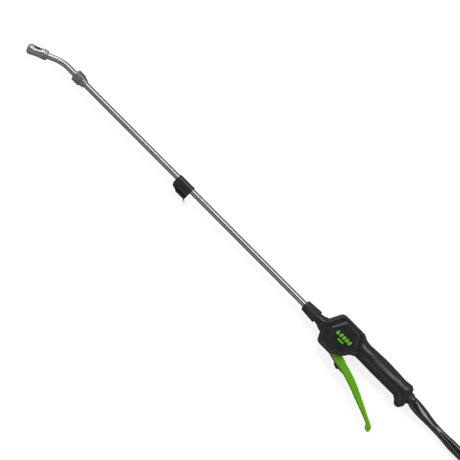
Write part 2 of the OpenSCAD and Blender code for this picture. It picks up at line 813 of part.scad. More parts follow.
module hose_gland() {
  r = hose_r + 1.5;
  color(rubber) at_pipe() difference() {
    turned([[0, grip_end + 14], [r, grip_end + 14], [r, gland_end - 1], [r - 0.7, gland_end],
            [0, gland_end]]);
    rod(grip_end, far + 50, hose_r + seat_gap);
  }
}

// ---- hose ----

function lerp(a, b, t) = a + (b - a) * t;
// The route with its bends rounded by a curve through its points
function smooth_at(p, i, t) =
  let (n = len(p), a = p[max(0, i - 1)], b = p[i], c = p[min(n - 1, i + 1)], d = p[min(n - 1, i + 2)])
  0.5 * ((2 * b) + (c - a) * t + (2 * a - 5 * b + 4 * c - d) * t * t + (3 * b - a - 3 * c + d) * t * t * t);
module hose() {
  n = len(hose_route);
  smooth = [for (i = [0:n - 2], t = [0, 0.5]) smooth_at(hose_route, i, t)];
  color(rubber) swept(concat(smooth, [hose_route[n - 1]]), hose_r, 12);
}

module hose_coil() {
  web = 4;
  color(rubber) translate([coil_at.x, coil_at.y, 0]) {
    rotate_extrude($fn = 96) {
      translate([coil_outer, hose_floor]) circle(r = hose_r, $fn = 24);
      translate([coil_inner, hose_floor]) circle(r = hose_r, $fn = 24);
      translate([coil_inner, hose_floor - web]) square([coil_outer - coil_inner, 2 * web]);
    }
    rotate([0, 0, coil_end_angle]) rotate_extrude(angle = coil_top_span, $fn = 96) {
      translate([coil_top_r, coil_top_z]) circle(r = hose_r, $fn = 24);
      translate([coil_top_r - web, hose_floor]) square([2 * web, coil_top_z - hose_floor]);
    }
  }
}

module hose_end_sleeve() {
  r = hose_r + 0.4;
  color(steel) at_hose_end() difference() {
    turned([[0, 0], [r - 0.4, 0], [r, 0.6], [r, 5], [r - 0.4, 5.6], [r - 0.4, 6.4], [r, 7], [r, 12],
            [r - 0.4, 12.6], [r - 0.4, 13.4], [r, 14], [r, sleeve_length - 0.6],
            [r - 0.6, sleeve_length], [0, sleeve_length]]);
    rod(-5, sleeve_length + 5, end_stem_r);
  }
}

module hose_end_stem() {
  flange = sleeve_length + end_collar + 3;
  color(brass) at_hose_end() difference() {
    union() {
      rod(1, flange + 2, end_stem_r - seat_gap);
      rod(sleeve_length + eps, sleeve_length + end_collar, hose_r);
      rod(flange, flange + 2, end_thread_r - 0.6);
    }
    rod(0, flange + 5, end_stem_r - 1.6);
  }
}

module hose_end_nut() {
  start = sleeve_length + end_collar + body_gap;
  lip = 2.4;
  relief = 4.4;
  corner_r = end_nut_flats / sqrt(3);
  color(brass) at_hose_end() difference() {
    intersection() {
      hex_bar(start, start + end_nut_length, end_nut_flats);
      turned([[0, start], [corner_r - 1.4, start], [corner_r, start + 1],
              [corner_r, start + end_nut_length - 1], [corner_r - 1.4, start + end_nut_length],
              [0, start + end_nut_length]]);
    }
    rod(start - 1, start + end_nut_length + 1, end_stem_r + run_gap);
    rod(start + lip, start + lip + relief, end_thread_r + 0.4);
    rod(start + lip, start + end_nut_length + 1, end_thread_r);
  }
}

module hose_end_seal() {
  flange = sleeve_length + end_collar + 5;
  color(rubber) at_hose_end() pipe(flange + eps, flange + 1.8, end_thread_r - 0.8, end_stem_r - 1.6);
}

nozzle_shroud();
nozzle_tip();
nozzle_stem();
nozzle_oring();
swirl_core();
neck_tube();
union_nut();
neck_seal();
tube_ferrule();
lance_tube();
parking_clip();
lance_nut();
lance_collet();
lance_oring();
shell_upper();
shell_lower();
side_cover_upper();
side_cover_lower();
shell_screws();
valve_body();
valve_cap();
valve_cap_seal();
valve_stem();
valve_seat_ring();
valve_spring();
stem_seal();
trigger_lever();
trigger_pin();
trigger_latch();
grip_pipe();
inlet_filter();
hose_tail();
hose_clamp();
butt_cap();
hose_gland();
hose();
hose_coil();
hose_end_sleeve();
hose_end_stem();
hose_end_nut();
hose_end_seal();
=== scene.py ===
"""Looks of a spray lance with a trigger gun and its hose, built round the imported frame.

Sizes are in millimetres inside the shape code and in metres in Blender. X runs along the lance
towards the grip, -Y is the trigger's side and +Z is up.
"""
import logging
import math
from dataclasses import dataclass
from enum import Enum
from typing import Callable, Iterable, Sequence

import bmesh
import bpy
import numpy as np
from mathutils import Matrix, Vector


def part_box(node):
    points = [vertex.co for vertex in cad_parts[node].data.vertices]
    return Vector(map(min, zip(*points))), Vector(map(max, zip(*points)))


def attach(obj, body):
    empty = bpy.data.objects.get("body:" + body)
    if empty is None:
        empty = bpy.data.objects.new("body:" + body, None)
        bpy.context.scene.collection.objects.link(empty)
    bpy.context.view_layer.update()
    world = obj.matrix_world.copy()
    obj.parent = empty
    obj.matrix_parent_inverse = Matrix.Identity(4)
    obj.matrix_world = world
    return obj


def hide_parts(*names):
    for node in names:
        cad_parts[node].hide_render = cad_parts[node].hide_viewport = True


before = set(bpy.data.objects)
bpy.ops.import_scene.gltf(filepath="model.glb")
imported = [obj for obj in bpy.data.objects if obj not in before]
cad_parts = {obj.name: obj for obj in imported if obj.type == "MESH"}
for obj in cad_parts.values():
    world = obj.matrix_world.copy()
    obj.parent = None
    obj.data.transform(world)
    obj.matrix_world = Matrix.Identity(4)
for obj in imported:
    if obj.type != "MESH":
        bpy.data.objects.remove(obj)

log = logging.getLogger("spray_lance")

MM = 0.001
Point2 = tuple[float, float]
Point3 = tuple[float, float, float]
Outline = list[Point2]
FULL_TURN = 2 * math.pi


# ---------------------------------------------------------------- sizes taken from the frame


def low(node: str) -> Vector:
    """The lowest corner of a frame node, in millimetres."""
    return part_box(node)[0] / MM


def high(node: str) -> Vector:
    """The highest corner of a frame node, in millimetres."""
    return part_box(node)[1] / MM


def middle(node: str) -> Vector:
    """The centre of a frame node's box, in millimetres."""
    return (low(node) + high(node)) / 2


AXIS_Z = middle("lance_tube").z
TUBE_R = (high("lance_tube").y - low("lance_tube").y) / 2
PIPE_Y = middle("grip_pipe").y


# ---------------------------------------------------------------- outlines and curves


def unit(v: np.ndarray) -> np.ndarray:
    """The vector with a length of one."""
    return v / np.linalg.norm(v)


def rounded(corners: Sequence[tuple[float, float, float]], steps: int = 6) -> Outline:
    """A closed outline whose corners are rounded.

    Args:
        corners: (x, y, radius) for each corner in order; a radius of 0 keeps the corner sharp.
        steps: how many straight pieces make up each rounded corner.

    Returns:
        The outline's points.
    """
    made: Outline = []
    n = len(corners)
    for i, (x, y, r) in enumerate(corners):
        b = np.array([x, y])
        if r <= 0:
            made.append((x, y))
            continue
        u = unit(np.array(corners[i - 1][:2]) - b)
        w = unit(np.array(corners[(i + 1) % n][:2]) - b)
        half = math.acos(float(np.clip(u @ w, -1, 1))) / 2
        centre = b + unit(u + w) * (r / math.sin(half))
        first, last = b + u * (r / math.tan(half)) - centre, b + w * (r / math.tan(half)) - centre
        start = math.atan2(first[1], first[0])
        turn = (math.atan2(last[1], last[0]) - start + math.pi) % FULL_TURN - math.pi
        for k in range(steps + 1):
            a = start + turn * k / steps
            made.append((centre[0] + r * math.cos(a), centre[1] + r * math.sin(a)))
    return made


def curve_through(points: Sequence[Sequence[float]], steps: int) -> np.ndarray:
    """Points along a smooth curve that passes through the given ones.

    Args:
        points: the points to pass through, in any number of dimensions.
        steps: how many pieces lie between one given point and the next.

    Returns:
        The curve's points, one row each.
    """
    p = np.array(points, float)
    n = len(p)
    made = []
    for i in range(n - 1):
        a, b, c, d = p[max(0, i - 1)], p[i], p[i + 1], p[min(n - 1, i + 2)]
        for k in range(steps):
            t = k / steps
            made.append(0.5 * (2 * b + (c - a) * t + (2 * a - 5 * b + 4 * c - d) * t * t
                               + (3 * b - a - 3 * c + d) * t ** 3))
    made.append(p[-1])
    return np.array(made)


def depth_inside(points: np.ndarray, outline: Outline) -> np.ndarray:
    """How deep each point lies inside a closed outline; points outside get a negative depth."""
    a = np.array(outline)
    b = np.roll(a, -1, axis=0)
    p, edge = points[:, None, :], (b - a)[None]
    t = np.clip(((p - a) * edge).sum(2) / np.maximum((edge ** 2).sum(2), 1e-12), 0, 1)
    nearest = np.linalg.norm(p - (a + t[..., None] * edge), axis=2).min(1)
    spans = (a[:, 1] > points[:, 1:2]) != (b[:, 1] > points[:, 1:2])
    rise = np.where(np.abs(b[:, 1] - a[:, 1]) < 1e-12, 1e-12, b[:, 1] - a[:, 1])
    cross = a[:, 0] + (points[:, 1:2] - a[:, 1]) / rise * (b[:, 0] - a[:, 0])
    inside = ((points[:, 0:1] < cross) & spans).sum(1) % 2 == 1
    return np.where(inside, nearest, -nearest)


def ray_lengths(outline: Outline, centre: Point2, inset: float, angles: np.ndarray) -> np.ndarray:
    """How far from the centre an outline lies in each direction, after it is drawn in by inset."""
    rays = np.stack([np.cos(angles), np.sin(angles)], 1)
    near, far = np.zeros(len(angles)), np.full(len(angles), 200.0)
    for _ in range(40):
        half = (near + far) / 2
        inner = depth_inside(np.array(centre) + rays * half[:, None], outline) > inset
        near, far = np.where(inner, half, near), np.where(inner, far, half)
    return near


def smooth_step(t: np.ndarray | float) -> np.ndarray | float:
    """0 below 0, 1 above 1 and a smooth rise between them."""
    t = np.clip(t, 0, 1)
    return t * t * (3 - 2 * t)


# ---------------------------------------------------------------- meshes


def mesh_piece(name: str, points: Iterable[Sequence[float]], faces: Iterable[Sequence[int]],
               place: Matrix | None = None) -> bpy.types.Object:
    """A closed mesh with its place in its vertices, and its faces turned outwards.

    Args:
        name: the piece's name.
        points: its vertices, in millimetres.
        faces: the vertices' numbers, face by face.
        place: a turn and shift, in millimetres, from the shape's own axes to the frame's.

    Returns:
        The new object, linked to the scene.
    """
    mesh = bpy.data.meshes.new(name)
    mesh.from_pydata([tuple(p) for p in points], [], [tuple(f) for f in faces])
    mesh.transform(Matrix.Scale(MM, 4) @ (place or Matrix.Identity(4)))
    work = bmesh.new()
    work.from_mesh(mesh)
    bmesh.ops.remove_doubles(work, verts=work.verts, dist=1e-7)
    bmesh.ops.dissolve_degenerate(work, edges=work.edges, dist=1e-7)
    bmesh.ops.recalc_face_normals(work, faces=work.faces)
    work.to_mesh(mesh)
    work.free()
    piece = bpy.data.objects.new(name, mesh)
    bpy.context.scene.collection.objects.link(piece)
    return piece


def skin(rings: Sequence[np.ndarray], closed: bool = False) -> tuple[np.ndarray, list[list[int]]]:
    """The points and faces of a surface through rings with equal numbers of points.

    Args:
        rings: the rings in order.
        closed: joins the last ring to the first; otherwise both ends get a flat cap.

    Returns:
        The points and the faces.
    """
    n, m = len(rings), len(rings[0])
    faces = [[i * m + k, i * m + (k + 1) % m, (i + 1) % n * m + (k + 1) % m, (i + 1) % n * m + k]
             for i in range(n if closed else n - 1) for k in range(m)]
    if not closed:
        faces += [list(range(m))[::-1], [(n - 1) * m + k for k in range(m)]]
    return np.concatenate(rings), faces


def round_angles(count: int) -> np.ndarray:
    """Equal angles round a full turn, in radians."""
    return np.linspace(0, FULL_TURN, count, endpoint=False)


def ring_about_x(x: float, radius: float | np.ndarray, angles: np.ndarray) -> np.ndarray:
    """A ring of points round the X axis, at one radius or at a radius for each angle."""
    return np.stack([np.full(len(angles), x), radius * np.cos(angles), radius * np.sin(angles)], 1)


def prism(outline: Outline | np.ndarray, z0: float, z1: float) -> tuple[np.ndarray, list[list[int]]]:
    """The points and faces of an upright solid with the given outline, between two heights."""
    return skin([np.column_stack([np.array(outline), np.full(len(outline), z)]) for z in (z0, z1)])


def turned(name: str, profile: Sequence[Point2], place: Matrix, sides: int = 72) -> bpy.types.Object:
    """A solid turned about its own X axis from a closed profile of (x, radius) points."""
    angles = round_angles(sides)
    return mesh_piece(name, *skin([ring_about_x(x, r, angles) for x, r in profile], closed=True), place)


def shaped_bar(name: str, stations: Sequence[Point2], radius: Callable[[np.ndarray, float], np.ndarray],
               bore: Sequence[Point2], place: Matrix, sides: int = 144) -> bpy.types.Object:
    """A bar along X whose outside is not round, with a round bore.

    Args:
        name: the piece's name.
        stations: (x, turned radius) along the outside, from one end to the other.
        radius: gives the outside radius at each angle for a station's turned radius.
        bore: (x, radius) along the inside, from the last station's end back to the first's.
        place: a turn and shift from the bar's own axes to the frame's.
        sides: points round the bar.

    Returns:
        The new piece.
    """
    angles = round_angles(sides)
    rings = [ring_about_x(x, radius(angles, r), angles) for x, r in stations]
    rings += [ring_about_x(x, r, angles) for x, r in bore]
    return mesh_piece(name, *skin(rings, closed=True), place)


def lengths_along(line: np.ndarray) -> np.ndarray:
    """The length along a line at each of its points."""
    return np.concatenate([[0], np.cumsum(np.linalg.norm(np.diff(line, axis=0), axis=1))])


def swept(name: str, line: np.ndarray, section: Callable[[float], np.ndarray]) -> bpy.types.Object:
    """A tube along a line in the frame's axes.

    Args:
        name: the piece's name.
        line: the centre line's points, in millimetres.
        section: gives the (side, up) points of the ring at a given length along the line.

    Returns:
        The new piece.
    """
    headings = np.gradient(line, axis=0)
    headings /= np.linalg.norm(headings, axis=1)[:, None]
    rings = []
    for p, d, length in zip(line, headings, lengths_along(line)):
        side = unit(np.cross([0, 0, 1], d))
        up = np.cross(d, side)
        flat = section(float(length))
        rings.append(p + flat[:, :1] * side + flat[:, 1:] * up)
    return mesh_piece(name, *skin(rings))


def edge_rounded_plate(name: str, outline: Outline, half: float, radii: np.ndarray, place: Matrix,
                       steps: int = 5) -> bpy.types.Object:
    """A plate with the given outline, whose upper and lower edges are rounded.

    Args:
        name: the piece's name.
        outline: the plate's outline at its widest.
        half: half the plate's thickness.
        radii: how far the edge is rounded at each point of the outline.
        place: a turn and shift from the plate's own axes to the frame's.
        steps: straight pieces in each rounded edge.

    Returns:
        The new piece.
    """
    p = np.array(outline)
    tangent = np.roll(p, -1, axis=0) - np.roll(p, 1, axis=0)
    normal = np.stack([tangent[:, 1], -tangent[:, 0]], 1)
    normal /= np.linalg.norm(normal, axis=1)[:, None]
    if (depth_inside(p + normal * 0.01, outline) > 0).mean() > 0.5:
        normal = -normal
    quarter = np.linspace(0, math.pi / 2, steps + 1)
    curve = [(1 - math.cos(a), 1 - math.sin(a)) for a in quarter]
    rings = []
    for sign, order in ((-1, curve[::-1]), (1, curve)):
        for d, h in order:
            flat = p - normal * (radii * d)[:, None]
            z = sign * (half - radii * h)
            rings.append(np.column_stack([flat, z]))
    return mesh_piece(name, *skin(rings), place)


def box_solid(name: str, lowest: Point3, highest: Point3) -> bpy.types.Object:
    """A plain block, used only as a cutter."""
    x0, y0, z0 = lowest
    x1, y1, z1 = highest
    return mesh_piece(name, *prism([(x0, y0), (x1, y0), (x1, y1), (x0, y1)], z0, z1))


class Cut(Enum):
    """What a boolean step does."""

    ADD = "UNION"
    TAKE = "DIFFERENCE"
    KEEP = "INTERSECT"


def combine(base: bpy.types.Object, tool: bpy.types.Object, how: Cut) -> None:
    """Joins, cuts or trims one closed mesh with another, which is used up, and leaves a plain mesh."""
    step = base.modifiers.new("combine", "BOOLEAN")
    step.operation = how.value
    step.object = tool
    step.solver = "EXACT"
    make_plain(base)
    drop(tool)


def drop(piece: bpy.types.Object) -> None:
    """Removes a helper object and its mesh."""
    mesh = piece.data
    bpy.data.objects.remove(piece)
    bpy.data.meshes.remove(mesh)


def make_plain(piece: bpy.types.Object) -> None:
    """Replaces a piece's mesh by the result of its modifiers, and removes them."""
    depsgraph = bpy.context.evaluated_depsgraph_get()
    depsgraph.update()
    mesh = bpy.data.meshes.new_from_object(piece.evaluated_get(depsgraph))
    piece.modifiers.clear()
    old = piece.data
    piece.data = mesh
    bpy.data.meshes.remove(old)
    mesh.name = piece.name


def soften(piece: bpy.types.Object, width: float = 0.25, segments: int = 2, angle: float = 35,
           smooth_below: float = 50) -> None:
    """Rounds a piece's sharp edges a little and gives it smooth shading.

    Args:
        piece: a closed mesh.
        width: the rounding's width in millimetres; 0 leaves the edges as they are.
        segments: straight pieces in the rounding.
        angle: edges that turn more than this many degrees are rounded.
        smooth_below: edges that turn less than this many degrees are shaded smooth.
    """
    if width > 0:
        bevel = piece.modifiers.new("edges", "BEVEL")
        bevel.width, bevel.segments = width * MM, segments
        bevel.limit_method, bevel.angle_limit = "ANGLE", math.radians(angle)
        bevel.use_clamp_overlap = False
        bevel.miter_outer = "MITER_ARC"
        make_plain(piece)
    piece.data.shade_smooth()
    piece.data.set_sharp_from_angle(angle=math.radians(smooth_below))
    weighted = piece.modifiers.new("normals", "WEIGHTED_NORMAL")
    weighted.keep_sharp = True
    weighted.weight = 70
    make_plain(piece)
    mark_edges(piece)


def mark_edges(piece: bpy.types.Object) -> None:
    """Stores how strongly each vertex stands out on an edge, for the wear in its material."""
    work = bmesh.new()
    work.from_mesh(piece.data)
    value = np.zeros(len(work.verts), np.float32)
    for i, v in enumerate(work.verts):
        value[i] = max((e.calc_face_angle_signed(0) for e in v.link_edges if len(e.link_faces) == 2),
                       default=0)
    work.free()
    value = np.clip(value / math.radians(30), 0, 1)
    layer = piece.data.attributes.new("edge", "FLOAT", "POINT")
    layer.data.foreach_set("value", value)


def along(start: Point3, direction: Sequence[float]) -> Matrix:
    """The place of a shape whose X axis runs from start in a direction, with Z as near up as it can be."""
    x = Vector(direction).normalized()
    y = Vector((0, 0, 1)).cross(x).normalized()
    z = x.cross(y)
    turn = Matrix((x, y, z)).transposed().to_4x4()
    return Matrix.Translation(start) @ turn


ON_AXIS = Matrix.Translation((0, 0, AXIS_Z))


# ---------------------------------------------------------------- node trees


class Tree:
    """A node tree while it is put together."""

    def __init__(self, name: str, kind: str) -> None:
        """Starts an empty node group of a kind, GeometryNodeTree or ShaderNodeTree."""
        self.tree = bpy.data.node_groups.new(name, kind)
        self.entry = self.tree.nodes.new("NodeGroupInput")
        self.exit = self.tree.nodes.new("NodeGroupOutput")

    def takes(self, name: str, kind: str, default: object = None) -> None:
        """Adds a named input."""
        made = self.tree.interface.new_socket(name=name, in_out="INPUT", socket_type=kind)
        if default is not None:
            made.default_value = default

    def gives(self, name: str, kind: str, source: bpy.types.NodeSocket) -> None:
        """Adds a named output that is fed by a socket."""
        self.tree.interface.new_socket(name=name, in_out="OUTPUT", socket_type=kind)
        self.tree.links.new(source, self.exit.inputs[name])

    def given(self, name: str) -> bpy.types.NodeSocket:
        """The socket that a named input comes in at."""
        return self.entry.outputs[name]

    def add(self, kind: str, inputs: dict | None = None, **settings: object) -> bpy.types.Node:
        """Adds a node; see add_node."""
        return add_node(self.tree, kind, inputs, **settings)


def add_node(tree: bpy.types.NodeTree, kind: str, inputs: dict | None = None,
             **settings: object) -> bpy.types.Node:
    """Adds a node to a tree.

    Args:
        tree: the tree that it goes in.
        kind: the node's type name.
        inputs: a value or a socket for each input, by its name or number.
        settings: the node's own settings.

    Returns:
        The new node.
    """
    node = tree.nodes.new(kind)
    for key, value in settings.items():
        setattr(node, key, value)
    for key, value in (inputs or {}).items():
        if isinstance(value, bpy.types.NodeSocket):
            tree.links.new(value, node.inputs[key])
        else:
            node.inputs[key].default_value = value
    return node


def run_nodes(piece: bpy.types.Object, tree: Tree, values: dict[str, object]) -> None:
    """Runs a geometry tree on a piece with the given inputs, and leaves a plain mesh."""
    modifier = piece.modifiers.new(tree.tree.name, "NODES")
    modifier.node_group = tree.tree
    for item in tree.tree.interface.items_tree:
        if item.in_out == "INPUT" and item.name in values:
            modifier[item.identifier] = values[item.name]
    make_plain(piece)


def end_with_material(tree: Tree, source: bpy.types.NodeSocket) -> Tree:
    """Ends a geometry tree: real meshes instead of instances, in the material of its Finish input."""
    solid = tree.add("GeometryNodeRealizeInstances", {"Geometry": source})
    dressed = tree.add("GeometryNodeSetMaterial",
                       {"Geometry": solid.outputs["Geometry"], "Material": tree.given("Finish")})
    tree.gives("Geometry", "NodeSocketGeometry", dressed.outputs["Geometry"])
    return tree


def repeat_tree() -> Tree:
    """A tree that repeats its own mesh at equal steps along a line."""
    tree = Tree("repeat_in_a_row", "GeometryNodeTree")
    tree.takes("Geometry", "NodeSocketGeometry")
    tree.takes("Count", "NodeSocketInt", 4)
    tree.takes("Step", "NodeSocketVector", (0.001, 0.0, 0.0))
    tree.takes("Finish", "NodeSocketMaterial")
    row = tree.add("GeometryNodeMeshLine", {"Count": tree.given("Count"), "Offset": tree.given("Step")})
    copies = tree.add("GeometryNodeInstanceOnPoints",
                      {"Points": row.outputs["Mesh"], "Instance": tree.given("Geometry")})
    return end_with_material(tree, copies.outputs["Instances"])


def flute_tree() -> Tree:
    """A tree that presses long flutes into a turned piece that lies along X."""
    tree = Tree("press_flutes", "GeometryNodeTree")
    tree.takes("Geometry", "NodeSocketGeometry")
    tree.takes("Count", "NodeSocketFloat", 10.0)
    tree.takes("Depth", "NodeSocketFloat", 0.001)
    tree.takes("Start", "NodeSocketFloat", 0.0)
    tree.takes("Fade", "NodeSocketFloat", 0.002)
    tree.takes("Inner radius", "NodeSocketFloat", 0.008)
    tree.takes("Height", "NodeSocketFloat", 0.02)
    tree.takes("Finish", "NodeSocketMaterial")

    def maths(kind: str, a: object, b: object = 0.0, clamp: bool = False) -> bpy.types.NodeSocket:
        """A Math node's result."""
        return tree.add("ShaderNodeMath", {0: a, 1: b}, operation=kind, use_clamp=clamp).outputs[0]

    place = tree.add("ShaderNodeSeparateXYZ",
                     {0: tree.add("GeometryNodeInputPosition").outputs[0]}).outputs
    up = maths("SUBTRACT", place["Z"], tree.given("Height"))
    radius = maths("SQRT", maths("ADD", maths("MULTIPLY", up, up),
                                 maths("MULTIPLY", place["Y"], place["Y"])))
    wave = maths("COSINE", maths("MULTIPLY", maths("ARCTAN2", place["Y"], up), tree.given("Count")))
    hollow = maths("POWER", maths("SUBTRACT", 0.5, maths("MULTIPLY", wave, 0.5), True), 0.8)
    fade = maths("DIVIDE", maths("SUBTRACT", place["X"], tree.given("Start")), tree.given("Fade"), True)
    outside = maths("GREATER_THAN", radius, tree.given("Inner radius"))
    press = maths("MULTIPLY", maths("MULTIPLY", hollow, fade),
                  maths("MULTIPLY", outside, tree.given("Depth")))
    share = maths("DIVIDE", maths("MULTIPLY", press, -1.0), radius)
    offset = tree.add("ShaderNodeCombineXYZ",
                      {"Y": maths("MULTIPLY", place["Y"], share), "Z": maths("MULTIPLY", up, share)})
    moved = tree.add("GeometryNodeSetPosition",
                     {"Geometry": tree.given("Geometry"), "Offset": offset.outputs[0]})
    return end_with_material(tree, moved.outputs["Geometry"])


def screw_tree() -> Tree:
    """A tree that puts a cross-recess screw head on each point of its own mesh, facing down."""
    tree = Tree("screw_heads", "GeometryNodeTree")
    tree.takes("Geometry", "NodeSocketGeometry")
    tree.takes("Head radius", "NodeSocketFloat", 0.0028)
    tree.takes("Head height", "NodeSocketFloat", 0.0022)
    tree.takes("Recess", "NodeSocketFloat", 0.0034)
    tree.takes("Finish", "NodeSocketMaterial")
    head = tree.add("GeometryNodeMeshCylinder",
                    {"Vertices": 40, "Radius": tree.given("Head radius"), "Depth": tree.given("Head height")})
    thin = tree.add("ShaderNodeMath", {0: tree.given("Recess"), 1: 0.22}, operation="MULTIPLY").outputs[0]
    arms = []
    for turn in (0.0, math.pi / 2):
        size = tree.add("ShaderNodeCombineXYZ", {"X": tree.given("Recess"), "Y": thin,
                                                 "Z": tree.given("Head height")})
        bar = tree.add("GeometryNodeMeshCube", {"Size": size.outputs[0]})
        drop_by = tree.add("ShaderNodeCombineXYZ", {"Z": tree.add(
            "ShaderNodeMath", {0: tree.given("Head height"), 1: -0.5}, operation="MULTIPLY").outputs[0]})
        arms.append(tree.add("GeometryNodeTransform",
                             {"Geometry": bar.outputs["Mesh"], "Translation": drop_by.outputs[0],
                              "Rotation": (0.0, 0.0, turn)}).outputs[0])
    cut = tree.add("GeometryNodeMeshBoolean", {"Mesh 1": head.outputs["Mesh"]}, operation="DIFFERENCE")
    for arm in arms:
        tree.tree.links.new(arm, cut.inputs["Mesh 2"])
    copies = tree.add("GeometryNodeInstanceOnPoints",
                      {"Points": tree.given("Geometry"), "Instance": cut.outputs["Mesh"],
                       "Rotation": (0.0, 0.0, 0.6)})
    return end_with_material(tree, copies.outputs["Instances"])


# ---------------------------------------------------------------- finishes


class Grain(Enum):
    """How a surface is worked."""

    MOULDED = "moulded"
    DRAWN = "drawn"
    TURNED = "turned"
    EXTRUDED = "extruded"


def grain_group() -> Tree:
    """Fine spark-eroded mould grain, as a height and a slow cloud of tone."""
    tree = Tree("mould_grain", "ShaderNodeTree")
    tree.takes("Vector", "NodeSocketVector")
    tree.takes("Fineness", "NodeSocketFloat", 2500.0)
    fine = tree.add("ShaderNodeTexNoise", {"Vector": tree.given("Vector"), "Scale": tree.given("Fineness"),
                                           "Detail": 3.0, "Roughness": 0.6})
    cells = tree.add("ShaderNodeTexVoronoi", {"Vector": tree.given("Vector"),
                                              "Scale": tree.given("Fineness")})
    height = tree.add("ShaderNodeMath", {0: fine.outputs["Fac"], 1: cells.outputs["Distance"]},
                      operation="MULTIPLY")
    cloud = tree.add("ShaderNodeTexNoise", {"Vector": tree.given("Vector"), "Scale": 45.0, "Detail": 4.0})
    tree.gives("Height", "NodeSocketFloat", height.outputs[0])
    tree.gives("Cloud", "NodeSocketFloat", cloud.outputs["Fac"])
    return tree


def streak_group() -> Tree:
    """Fine lines along X of the vector it is given, as a height and a tone."""
    tree = Tree("tool_lines", "ShaderNodeTree")
    tree.takes("Vector", "NodeSocketVector")
    tree.takes("Across", "NodeSocketFloat", 3000.0)
    tree.takes("Along", "NodeSocketFloat", 12.0)
    scale = tree.add("ShaderNodeCombineXYZ", {"X": tree.given("Along"), "Y": tree.given("Across"),
                                              "Z": tree.given("Across")})
    stretched = tree.add("ShaderNodeVectorMath", {0: tree.given("Vector"), 1: scale.outputs[0]},
                         operation="MULTIPLY")
    lines = tree.add("ShaderNodeTexNoise", {"Vector": stretched.outputs[0], "Scale": 1.0, "Detail": 4.0,
                                            "Roughness": 0.7})
    cloud = tree.add("ShaderNodeTexNoise", {"Vector": tree.given("Vector"), "Scale": 30.0, "Detail": 3.0})
    tree.gives("Height", "NodeSocketFloat", lines.outputs["Fac"])
    tree.gives("Cloud", "NodeSocketFloat", cloud.outputs["Fac"])
    return tree


def wear_group() -> Tree:
    """Rubbed edges: how strongly an edge stands out, broken up by noise."""
    tree = Tree("rubbed_edges", "ShaderNodeTree")
    tree.takes("Vector", "NodeSocketVector")
    tree.takes("Edge", "NodeSocketFloat", 0.0)
    tree.takes("Amount", "NodeSocketFloat", 0.5)
    patches = tree.add("ShaderNodeTexNoise", {"Vector": tree.given("Vector"), "Scale": 220.0, "Detail": 5.0})
    broken = tree.add("ShaderNodeMapRange", {"Value": patches.outputs["Fac"], "From Min": 0.42,
                                             "From Max": 0.62})
    rubbed = tree.add("ShaderNodeMath", {0: tree.given("Edge"), 1: broken.outputs["Result"]},
                      operation="MULTIPLY")
    mask = tree.add("ShaderNodeMath", {0: rubbed.outputs[0], 1: tree.given("Amount")},
                    operation="MULTIPLY", use_clamp=True)
    tree.gives("Mask", "NodeSocketFloat", mask.outputs[0])
    return tree


@dataclass(frozen=True)
class Finish:
    """One finish of the lance's pieces.

    The rough pair gives the roughness where the tone is darkest and where it is lightest.
    """

    name: str
    colour: Point3
    light: Point3
    rough: Point2
    grain: Grain = Grain.MOULDED
    metallic: float = 0.0
    bump: float = 0.15
    bump_height: float = 0.00006
    fineness: float = 2500.0
    wear: float = 0.4
    coat: float = 0.0
    specular: float = 0.5
    turn: Point3 = (0.0, 0.0, 0.0)

    def material(self) -> bpy.types.Material:
        """The Blender material, made once. Its name must differ from those of the frame's own materials."""
        if self.name in bpy.data.materials:
            return bpy.data.materials[self.name]
        made = bpy.data.materials.new(self.name)
        made.use_nodes = True
        made.diffuse_color = (*self.colour, 1.0)
        tree = made.node_tree
        shader = tree.nodes["Principled BSDF"]
        source = "UV" if self.grain is Grain.EXTRUDED else "Object"
        place = add_node(tree, "ShaderNodeTexCoord").outputs[source]
        lined = self.grain is not Grain.MOULDED
        vector = place
        if self.grain in (Grain.DRAWN, Grain.TURNED):
            vector = add_node(tree, "ShaderNodeMapping", {"Vector": place, "Rotation": self.turn}).outputs[0]
        scales = {"Fineness": self.fineness}
        if lined:
            scales = {"Across": self.fineness, "Along": ALONG[self.grain]}
        surface = add_node(tree, "ShaderNodeGroup", {"Vector": vector, **scales},
                           node_tree=GROUPS["lines" if lined else "grain"].tree)
        edge = add_node(tree, "ShaderNodeAttribute", attribute_name="edge")
        worn = add_node(tree, "ShaderNodeGroup",
                        {"Vector": place, "Edge": edge.outputs["Fac"], "Amount": self.wear},
                        node_tree=GROUPS["wear"].tree)
        tone = add_node(tree, "ShaderNodeMix", {"Factor": surface.outputs["Cloud"]}, data_type="RGBA")
        tone.inputs["A"].default_value = (*self.colour, 1.0)
        tone.inputs["B"].default_value = (*self.light, 1.0)
        rubbed = add_node(tree, "ShaderNodeMix", {"Factor": worn.outputs["Mask"]}, data_type="RGBA")
        tree.links.new(tone.outputs["Result"], rubbed.inputs["A"])
        rubbed.inputs["B"].default_value = (*(min(1.0, c * 2.2 + 0.02) for c in self.light), 1.0)
        shine = add_node(tree, "ShaderNodeMapRange", {"Value": surface.outputs["Cloud"], "From Min": 0.3,
                                                      "From Max": 0.7, "To Min": self.rough[0],
                                                      "To Max": self.rough[1]})
        bump = add_node(tree, "ShaderNodeBump", {"Height": surface.outputs["Height"],
                                                 "Strength": self.bump, "Distance": self.bump_height})
        tree.links.new(rubbed.outputs["Result"], shader.inputs["Base Color"])
        tree.links.new(shine.outputs["Result"], shader.inputs["Roughness"])
        tree.links.new(bump.outputs["Normal"], shader.inputs["Normal"])
        shader.inputs["Metallic"].default_value = self.metallic
        shader.inputs["Coat Weight"].default_value = self.coat
        shader.inputs["Specular IOR Level"].default_value = self.specular
        return made


GROUPS = {"grain": grain_group(), "lines": streak_group(), "wear": wear_group()}
ALONG = {Grain.DRAWN: 12.0, Grain.TURNED: 40.0, Grain.EXTRUDED: 0.6}

